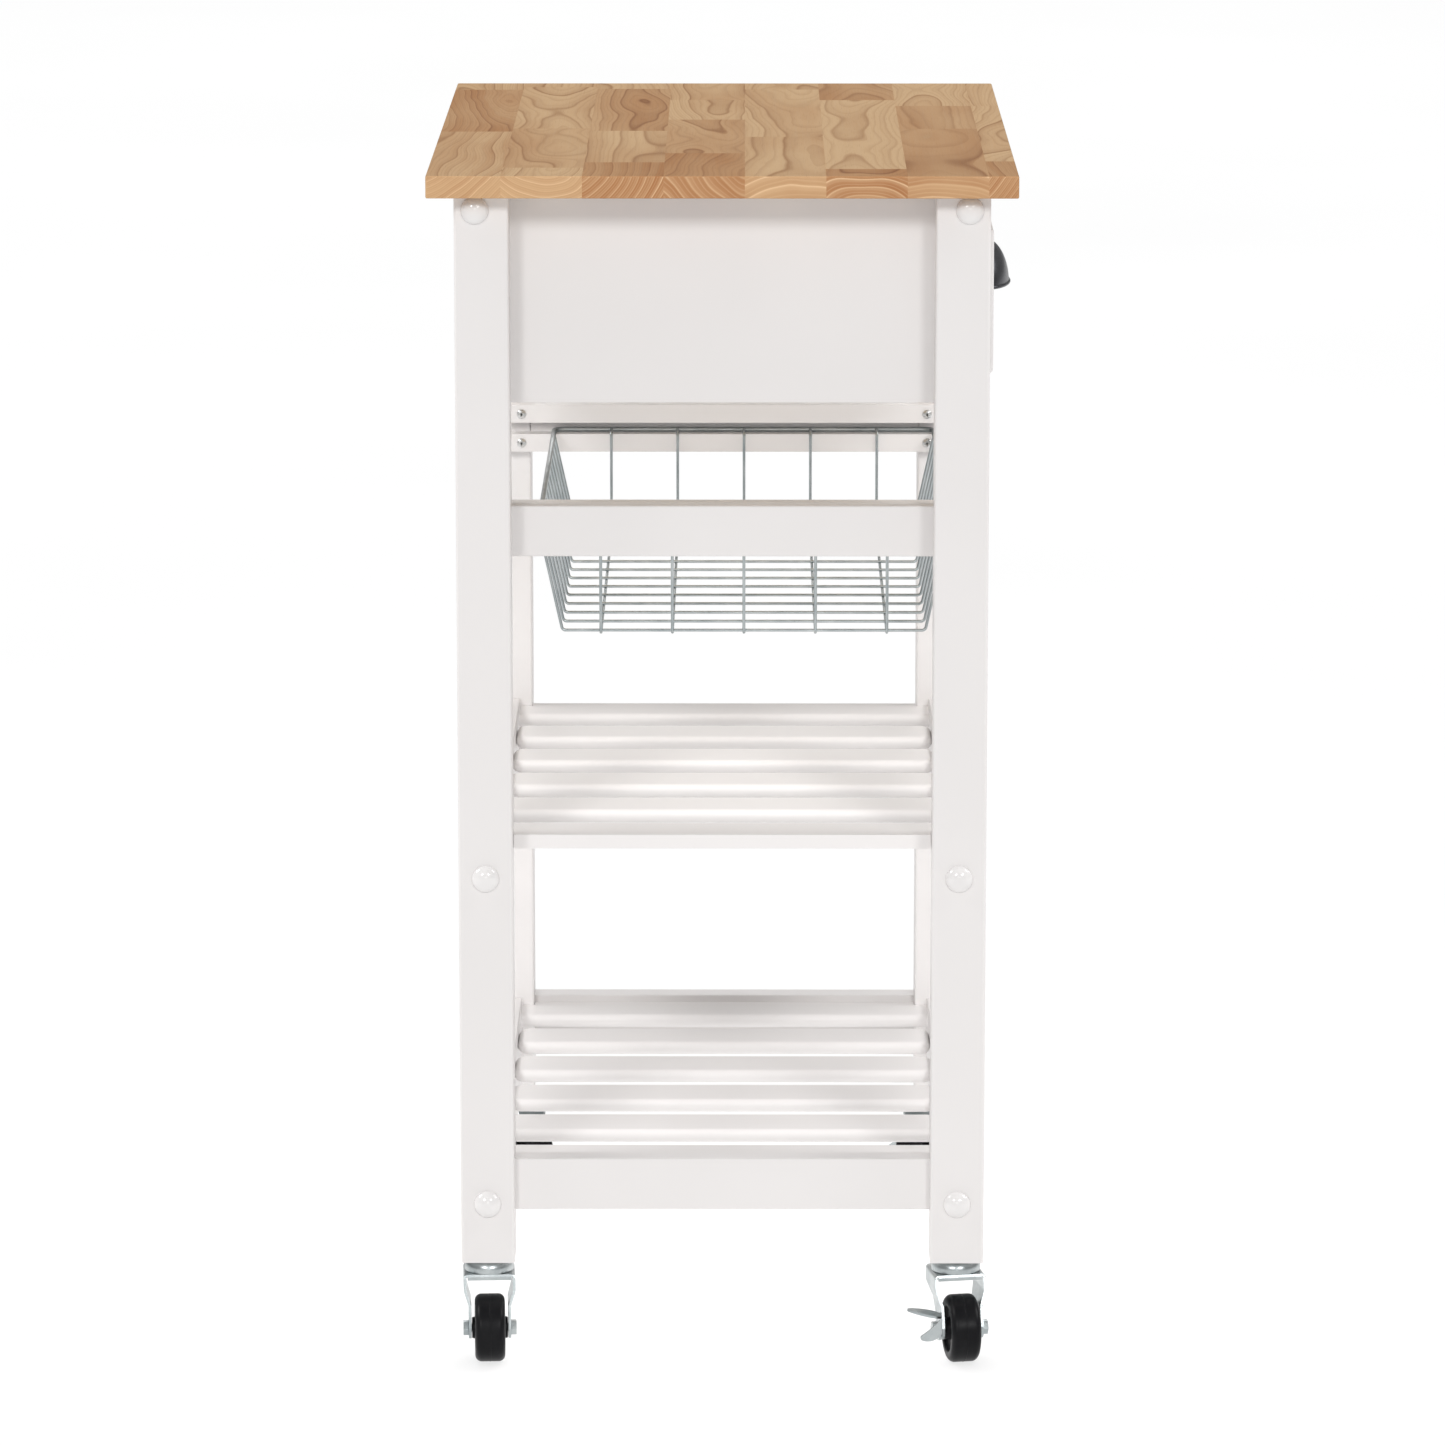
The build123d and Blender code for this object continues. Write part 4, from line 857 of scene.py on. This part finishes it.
# %% [markdown]
# ## Wire basket
# The basket is a thick rim wire with thinner wires welded to it: one set runs down the front, over
# the floor and up the back, the other runs lengthways under it. Every wire could be a curve of its
# own. It is less work to draw one line for each set, round its corners, give it a round section and
# repeat it at its pitch, and then all the wires of a set are alike.

# %% Basket
RIM_X, RIM_Y, RIM_Z = 226.0 * MM, 149.0 * MM, 610.8 * MM
BASKET_Y = -15.5 * MM
FLOOR_Z = 533.8 * MM
LONG_FLOOR_Z = 531.85 * MM
SHOULDER_X = 211.3 * MM
FLOOR_HALF_X = 209.0 * MM
FLOOR_HALF_Y = 132.0 * MM
CROSS_COUNT, CROSS_PITCH, CROSS_BEND = 13, 34.667 * MM, 3.0 * MM
LONG_COUNT, LONG_PITCH, LONG_BEND = 5, 52.0 * MM, 3.5 * MM
WIRE_DIAMETER, WIRE_SIDES, BEND_STEPS = 2.2 * MM, 12, 8
RIM_DIAMETER, RIM_SIDES = 4.0 * MM, 16
RIM_CORNER, RIM_CORNER_STEPS = 8.0 * MM, 10
ROUND_SHARP = 60.0


def wire_tree():
    row = {"Count": CROSS_COUNT, "Step_X": 0.0, "Step_Y": 0.0}
    tree, size = new_tree("wire_row", **row, Diameter=WIRE_DIAMETER, Bend=CROSS_BEND)
    path = add(tree, "GeometryNodeMeshToCurve", {"Mesh": size["Start"]}).outputs[0]
    bend = {"Curve": path, "Radius": size["Bend"], "Count": BEND_STEPS, "Limit Radius": True}
    bent = add(tree, "GeometryNodeFilletCurve", bend, mode="POLY").outputs[0]
    wire = round_wire(tree, bent, size["Diameter"], WIRE_SIDES, True)
    step = vector(tree, X=size["Step_X"], Y=size["Step_Y"])
    end_tree(tree, centred_row(tree, wire, size["Count"], step), zinc)
    return tree


wire_row = wire_tree()
cross_path = [(0, BASKET_Y - RIM_Y, RIM_Z), (0, BASKET_Y - FLOOR_HALF_Y, FLOOR_Z)]
cross_path += [(0, BASKET_Y + FLOOR_HALF_Y, FLOOR_Z), (0, BASKET_Y + RIM_Y, RIM_Z)]
cross_wires = grow("cross_wires", wire_row, line_of(cross_path), Step_X=CROSS_PITCH)
smooth(cross_wires, ROUND_SHARP)
add_piece("basket_cross", cross_wires, zinc, "zinc_plate", "basket", "basket_cross_wires")

long_path = [(-RIM_X, BASKET_Y, RIM_Z), (-SHOULDER_X, BASKET_Y, RIM_Z)]
long_path += [(-FLOOR_HALF_X, BASKET_Y, LONG_FLOOR_Z)]
long_path += [(-x, y, z) for x, y, z in reversed(long_path)]
long_sizes = {"Count": LONG_COUNT, "Step_Y": LONG_PITCH, "Bend": LONG_BEND}
long_wires = grow("long_wires", wire_row, line_of(long_path), **long_sizes)
smooth(long_wires, ROUND_SHARP)
add_piece("basket_long", long_wires, zinc, "zinc_plate", "basket", "basket_long_wires")
print("basket wires:", len(cross_wires.polygons), "and", len(long_wires.polygons), "faces")

# %% [markdown]
# The rim is a closed ring of thicker wire. It is swept as the other wires are, but round a
# rectangle with rounded corners, so it has no ends to close.


# %% Basket rim
def rim_tree():
    plan_size = {"Length": 2 * RIM_X, "Width": 2 * RIM_Y, "Corner": RIM_CORNER}
    tree, size = new_tree("rim_wire", **plan_size, Diameter=RIM_DIAMETER)
    plan = rounded_plan(tree, size["Length"], size["Width"], size["Corner"], RIM_CORNER_STEPS)
    wire = round_wire(tree, plan, size["Diameter"], RIM_SIDES, False)
    end_tree(tree, changed(tree, wire, Translation=(0.0, BASKET_Y, RIM_Z)), zinc)
    return tree


rim = grow("rim", rim_tree(), dots([(0, 0, 0)]))
smooth(rim, ROUND_SHARP)
add_piece("basket_rim_wire", rim, zinc, "zinc_plate", "basket", "basket_rim")
print("rim wire:", len(rim.polygons), "faces")

# %% [markdown]
# ## Bolt caps and screws
# A glossy domed cap hides each frame bolt on the legs' end faces. The runner strips are held by
# pan-head screws with a cross recess. They could be modelled once and copied by hand. A tree that
# sets them on points, each of which knows which way it faces, keeps them easy to move. Both start
# from a dome: the upper half of a ball, whose top a power below one makes flatter.

# %% Caps
CAP_X = 269.0 * MM
CAP_LINES = ((176.0, 849.0), (171.5, 362.0), (171.5, 118.0))
CAP_SIZES = {"Diameter": 20.0 * MM, "Rise": 6.5 * MM}
CAP_SEGMENTS, CAP_RINGS = 32, 24


def dome(tree, diameter, rise, segments, rings, flatness=1.0):
    ball_size = {"Segments": segments, "Rings": rings, "Radius": 1.0}
    ball = add(tree, "GeometryNodeMeshUVSphere", ball_size).outputs[0]
    here = add(tree, "GeometryNodeInputPosition").outputs[0]
    place = add(tree, "ShaderNodeSeparateXYZ", {0: here}).outputs
    above = calc(tree, "POWER", calc(tree, "MAXIMUM", place["Z"], 0.0), flatness)
    cut = {"Geometry": ball, "Position": vector(tree, X=place["X"], Y=place["Y"], Z=above)}
    half_ball = add(tree, "GeometryNodeSetPosition", cut).outputs[0]
    radius = half_of(tree, diameter)
    return changed(tree, half_ball, Scale=vector(tree, X=radius, Y=radius, Z=rise))


def set_on_points(tree, points, geometry):
    """A copy of a geometry on each point, turned the way that the point's attribute says."""
    kind = {"data_type": "FLOAT_VECTOR"}
    way = add(tree, "GeometryNodeInputNamedAttribute", {"Name": "way"}, **kind).outputs[0]
    turn = add(tree, "FunctionNodeAlignRotationToVector", {"Vector": way}, axis="Z").outputs[0]
    inputs = {"Points": points, "Instance": geometry, "Rotation": turn}
    return add(tree, "GeometryNodeInstanceOnPoints", inputs).outputs[0]


def cap_tree():
    tree, size = new_tree("bolt_caps", **CAP_SIZES)
    cap = dome(tree, size["Diameter"], size["Rise"], CAP_SEGMENTS, CAP_RINGS)
    end_tree(tree, set_on_points(tree, size["Start"], cap), cap_plastic)
    return tree


cap_places, cap_ways = [], []
for end in (-1, 1):
    for side in (-1, 1):
        for y, z in CAP_LINES:
            cap_places.append((end * CAP_X, side * y * MM, z * MM))
            cap_ways.append((end, 0, 0))
caps = grow("caps", cap_tree(), dots(cap_places, way=cap_ways))
smooth(caps, ROUND_SHARP)
add_piece("cap_domes", caps, cap_plastic, "white_cap", "frame", "bolt_caps")
print(len(cap_places), "caps")

# %% [markdown]
# A screw is a flatter dome with two bars cut out of it, crossed, on top of a plain shank.

# %% Screws
SCREW_Y = 159.0 * MM
END_SCREWS = ((216.0, 601.5), (216.0, 624.5), (219.6, 773.0))
CLEAT_SCREW = (221.0, 127.0, 842.0)
HEAD_SIZES = {"Head": 7.5 * MM, "Rise": 2.6 * MM, "Slot": 1.3 * MM}
SHANK_SIZES = {"Shank": 3.5 * MM, "Grip": 28.0 * MM}
HEAD_SEGMENTS, HEAD_RINGS, SHANK_SIDES = 20, 14, 12
PAN_FLATNESS = 0.5
CROSS_SHARE = 0.66
SCREW_SHARP = 40.0


def screw_tree():
    tree, size = new_tree("pan_screws", **HEAD_SIZES, **SHANK_SIZES)
    head = dome(tree, size["Head"], size["Rise"], HEAD_SEGMENTS, HEAD_RINGS, PAN_FLATNESS)
    arm = calc(tree, "MULTIPLY", size["Head"], CROSS_SHARE)
    lift = vector(tree, Z=size["Rise"])
    for wide, long in (("X", "Y"), ("Y", "X")):
        bar = vector(tree, **{wide: size["Slot"], long: arm, "Z": size["Rise"]})
        cutter = add(tree, "GeometryNodeMeshCube", {"Size": bar}).outputs[0]
        parts = {"Mesh 1": head, "Mesh 2": changed(tree, cutter, Translation=lift)}
        head = add(tree, "GeometryNodeMeshBoolean", parts, operation="DIFFERENCE").outputs[0]
    rod = {"Vertices": SHANK_SIDES, "Radius": half_of(tree, size["Shank"]), "Depth": size["Grip"]}
    shank = add(tree, "GeometryNodeMeshCylinder", rod).outputs[0]
    sink = vector(tree, Z=calc(tree, "MULTIPLY", size["Grip"], -0.5))
    screw = together(tree, head, changed(tree, shank, Translation=sink))
    end_tree(tree, set_on_points(tree, size["Start"], screw), steel)
    return tree


screw_places, screw_ways = [], []
for end in (-1, 1):
    for side in (-1, 1):
        for x, z in END_SCREWS:
            screw_places.append((end * x * MM, side * SCREW_Y, z * MM))
            screw_ways.append((-end, 0, 0))
        x, y, z = CLEAT_SCREW
        screw_places.append((end * x * MM, side * y * MM, z * MM))
        screw_ways.append((0, 0, -1))
screws = grow("screws", screw_tree(), dots(screw_places, way=screw_ways))
smooth(screws, SCREW_SHARP)
add_piece("strip_screws", screws, steel, "plated_steel", "frame", "wood_screws")
print(len(screw_places), "screws,", len(screws.polygons), "faces")

# %% [markdown]
# ## Cup pull
# The pull is a thin quarter dome, open below, with a rolled lip. A quarter of a ball with a
# Solidify modifier comes close, but its lip is square. So the pull is drawn as rows of points from
# the lip to the crown, once outside and once inside, and the two skins are joined at their edges.

# %% Cup pull
PULL_AT = Vector((0.0, -194.7 * MM, 760.0 * MM))
PULL_REACH = Vector((44.0, 19.3, 33.0)) * MM
PULL_WALL = 2.2 * MM
PULL_LIP = 1.2 * MM
LIP_HEIGHT = 2.6 * MM
PULL_COLUMNS = 56
LIP_STEPS = 8
SKIN_STEPS = 20
PULL_SHARP = 40.0


def pull_row(reach, out, rise):
    """One row of points round the dome at a height, moved out by a distance."""
    share = math.sqrt(max(0.0, 1.0 - (rise / reach.z) ** 2))
    row = []
    for column in range(PULL_COLUMNS + 1):
        angle = math.pi * column / PULL_COLUMNS
        x = (reach.x * share + out) * math.cos(angle)
        y = -(reach.y * share + out) * math.sin(angle)
        row.append(PULL_AT + Vector((x, y, rise)))
    return row


def pull_rows():
    """Rows over the lip, up the outside, over the crown and down the inside."""
    rows = []
    for step in range(LIP_STEPS + 1):
        angle = math.pi * (step / LIP_STEPS - 0.5)
        rise = LIP_HEIGHT / 2 + LIP_HEIGHT / 2 * math.sin(angle)
        rows.append(pull_row(PULL_REACH, PULL_LIP * math.cos(angle), rise))
    for step in range(1, SKIN_STEPS):
        climb = math.sin(math.pi / 2 * step / SKIN_STEPS)
        rows.append(pull_row(PULL_REACH, 0.0, LIP_HEIGHT + (PULL_REACH.z - LIP_HEIGHT) * climb))
    rows.append([PULL_AT + Vector((0, 0, PULL_REACH.z))])
    inside = PULL_REACH - Vector((PULL_WALL, PULL_WALL, PULL_WALL))
    rows.append([PULL_AT + Vector((0, 0, inside.z))])
    for step in reversed(range(SKIN_STEPS)):
        climb = math.sin(math.pi / 2 * step / SKIN_STEPS)
        rows.append(pull_row(inside, 0.0, inside.z * climb))
    return rows


def pull_mesh():
    shell = bmesh.new()
    rows = [[shell.verts.new(p) for p in row] for row in pull_rows()]
    for lower, upper in zip(rows, rows[1:] + rows[:1]):
        for i in range(max(len(lower), len(upper)) - 1):
            ring = [lower[min(i, len(lower) - 1)], lower[min(i + 1, len(lower) - 1)]]
            ring += [upper[min(i + 1, len(upper) - 1)], upper[min(i, len(upper) - 1)]]
            corners = list(dict.fromkeys(ring))
            if len(corners) > 2:
                shell.faces.new(corners)
    bmesh.ops.holes_fill(shell, edges=[e for e in shell.edges if e.is_boundary], sides=0)
    return mesh_from("pull", shell)


pull = pull_mesh()
smooth(pull, PULL_SHARP)
add_piece("drawer_pull", pull, pewter, "dark_pewter", "drawer", "cup_pull")
print("pull:", len(pull.polygons), "faces")

# %% [markdown]
# ## Casters
# Each caster has a moulded black wheel with a faint parting line round its tread, dished sides and
# a hub. A bevelled cylinder has none of these, so a wheel is one profile turned round its axle and
# set at its caster's own angle. The profile is half of the wheel's section, in millimetres:
# distance from the axle, then from the middle.

# %% Wheels
CASTER_X, CASTER_Y = 249.5 * MM, 171.5 * MM
CASTER_AT = {
    "front_left": (-CASTER_X, -CASTER_Y, 190.0),
    "back_left": (-CASTER_X, CASTER_Y, 183.0),
    "front_right": (CASTER_X, -CASTER_Y, 143.0),
    "back_right": (CASTER_X, CASTER_Y, 217.0),
}
TRAIL = 21.0 * MM
WHEEL_RADIUS = 25.0 * MM
WHEEL_STEPS = 72
WHEEL_SHARP = 30.0
TREAD = [(25.0, 0.0), (25.0, 0.35), (24.85, 0.55), (24.9, 2.0), (24.9, 6.2)]
SHOULDER_MIDDLE = (20.1, 6.2)
SHOULDER_RADIUS = 4.8
SHOULDER_STEPS = 8
RIM_EDGE = [(18.4, 11.0), (17.6, 10.8), (17.0, 10.2), (16.6, 8.6)]
DISH = [(15.8, 8.1), (9.6, 8.0), (8.6, 8.5)]
HUB = [(8.1, 9.4), (7.9, 12.6), (7.3, 13.1), (3.1, 13.15), (3.05, 12.0)]


def caster_place(corner):
    """From a caster's own frame, trailing along +x, to its place under the cart."""
    x, y, turn = CASTER_AT[corner]
    return Matrix.Translation((x, y, 0)) @ Matrix.Rotation(math.radians(turn), 4, "Z")


def wheel_profile():
    shoulder = []
    for step in range(1, SHOULDER_STEPS + 1):
        angle = math.pi / 2 * step / SHOULDER_STEPS
        out = SHOULDER_MIDDLE[0] + SHOULDER_RADIUS * math.cos(angle)
        shoulder.append((out, SHOULDER_MIDDLE[1] + SHOULDER_RADIUS * math.sin(angle)))
    return [(r * MM, y * MM) for r, y in TREAD + shoulder + RIM_EDGE + DISH + HUB]


def wheel_mesh(name, place):
    half = wheel_profile()
    outline = [(r, -y) for r, y in reversed(half)] + half[1:]
    wheel = bmesh.new()
    rings = []
    for step in range(WHEEL_STEPS):
        angle = 2 * math.pi * step / WHEEL_STEPS
        ring = []
        for r, y in outline:
            x, z = TRAIL + r * math.cos(angle), WHEEL_RADIUS + r * math.sin(angle)
            ring.append(wheel.verts.new(place @ Vector((x, y, z))))
        rings.append(ring)
    for first, second in zip(rings, rings[1:] + rings[:1]):
        for i in range(len(outline)):
            j = (i + 1) % len(outline)
            wheel.faces.new((first[i], first[j], second[j], second[i]))
    return mesh_from(name, wheel)


for corner in CASTER_AT:
    body, node = "wheel_" + corner, "caster_wheel_" + corner
    wheel = wheel_mesh(body, caster_place(corner))
    smooth(wheel, WHEEL_SHARP)
    add_piece("tyre_" + corner, wheel, tyre_black, "black_wheel", body, node)
print("four wheels,", len(wheel.polygons), "faces each")

# %% [markdown]
# The forks, stems, axles and levers are stamped and turned metal. Their CAD shapes are right, but a
# perfectly sharp edge catches no light. So each is a copy with its loose triangles joined, its
# edges eased by a small bevel, and smoothed.

# %% Caster metal
WELD_WITHIN = 0.02 * MM
EASE_ABOVE = 40.0
EASE_SEGMENTS = 2
METAL_SHARP = 50.0
EASES = {"stem": 0.2 * MM, "fork": 0.3 * MM, "axle": 0.3 * MM, "lever": 0.4 * MM}


def eased_copy(node, name, body, ease):
    shell = bmesh.new()
    shell.from_mesh(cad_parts[node].data)
    bmesh.ops.remove_doubles(shell, verts=shell.verts, dist=WELD_WITHIN)
    welded = mesh_from(name, shell, turn_outwards=False)
    welded.materials.append(zinc)
    limits = {"limit_method": "ANGLE", "angle_limit": math.radians(EASE_ABOVE)}
    eased = run_modifier(welded, "BEVEL", width=ease, segments=EASE_SEGMENTS, **limits)
    shaped = flats_kept(eased, METAL_SHARP)
    add_piece(name, shaped, zinc, "zinc_plate", body, node)
    return len(shaped.polygons)


metal_faces = 0
for corner in CASTER_AT:
    fork = "fork_" + corner
    metal_faces += eased_copy("caster_stem_" + corner, "stem_" + corner, "frame", EASES["stem"])
    metal_faces += eased_copy("caster_fork_" + corner, "yoke_" + corner, fork, EASES["fork"])
    metal_faces += eased_copy("caster_axle_" + corner, "bolt_" + corner, fork, EASES["axle"])
for corner in ("front_left", "front_right"):
    brake = "brake_" + corner
    metal_faces += eased_copy("brake_lever_" + corner, "lever_" + corner, brake, EASES["lever"])
print("caster metal:", metal_faces, "faces")

# %% [markdown]
# ## The boards
# Legs, panels, rails and the drawer are plain boards. Their CAD shapes are right as they are, so
# they are not remade and only take their finish, each with the grain of its own direction.


# %% Finishes of the CAD nodes
def each_end(*names):
    return [name + "_" + end for name in names for end in ("left", "right")]


BOARD_FINISHES = {
    paint_along["z"]: ["leg_" + corner for corner in CASTER_AT],
    paint_along["y"]: each_end("end_panel", "cross_rail", "lower_end_rail")
    + each_end("lower_runner", "upper_runner"),
    paint_along["x"]: ["back_panel", "front_top_rail", "front_lower_rail", "drawer_front"]
    + ["mid_rail_front", "mid_rail_back", "lower_rail_front", "lower_rail_back"],
    bare_along["y"]: each_end("drawer_side", "drawer_guide") + ["top_cleats"],
    bare_along["x"]: ["drawer_back", "drawer_bottom"],
    steel: ["frame_bolts", "barrel_nuts", "stem_inserts", "pull_screws"],
}
for material, nodes in BOARD_FINISHES.items():
    for node in nodes:
        node_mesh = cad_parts[node].data
        node_mesh.materials.clear()
        node_mesh.materials.append(material)
print("finished", sum(len(nodes) for nodes in BOARD_FINISHES.values()), "CAD nodes")

# %% [markdown]
# ## Light between the shelves
# The boards inside the cart stand in the shade of the near end. Soft lights that only they receive
# lift them, as reflectors do in a studio. A light from behind keeps the far side of the cart out
# of the dark. It leaves out the worktop and the slats, where it would glare.

# %% Inner light
FAR_NODES = ("leg_front_right", "leg_back_right", "cross_rail_right")
FAR_NODES += ("upper_runner_right", "lower_runner_right")

far_boards = [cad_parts[node] for node in FAR_NODES]
slats = [mid_slats, lower_slats]
broad_light("far_reflector", (0.93, 0.0, -0.37), 0.85, 20.0, lit_only=far_boards)
broad_light("slat_reflector", (0.55, 0.0, -0.83), 0.58, 25.0, lit_only=slats)
broad_light("back", (-0.83, 0.0, -0.5), 0.5, 25.0, unlit=[worktop, *slats])
print("two reflectors and a back light")
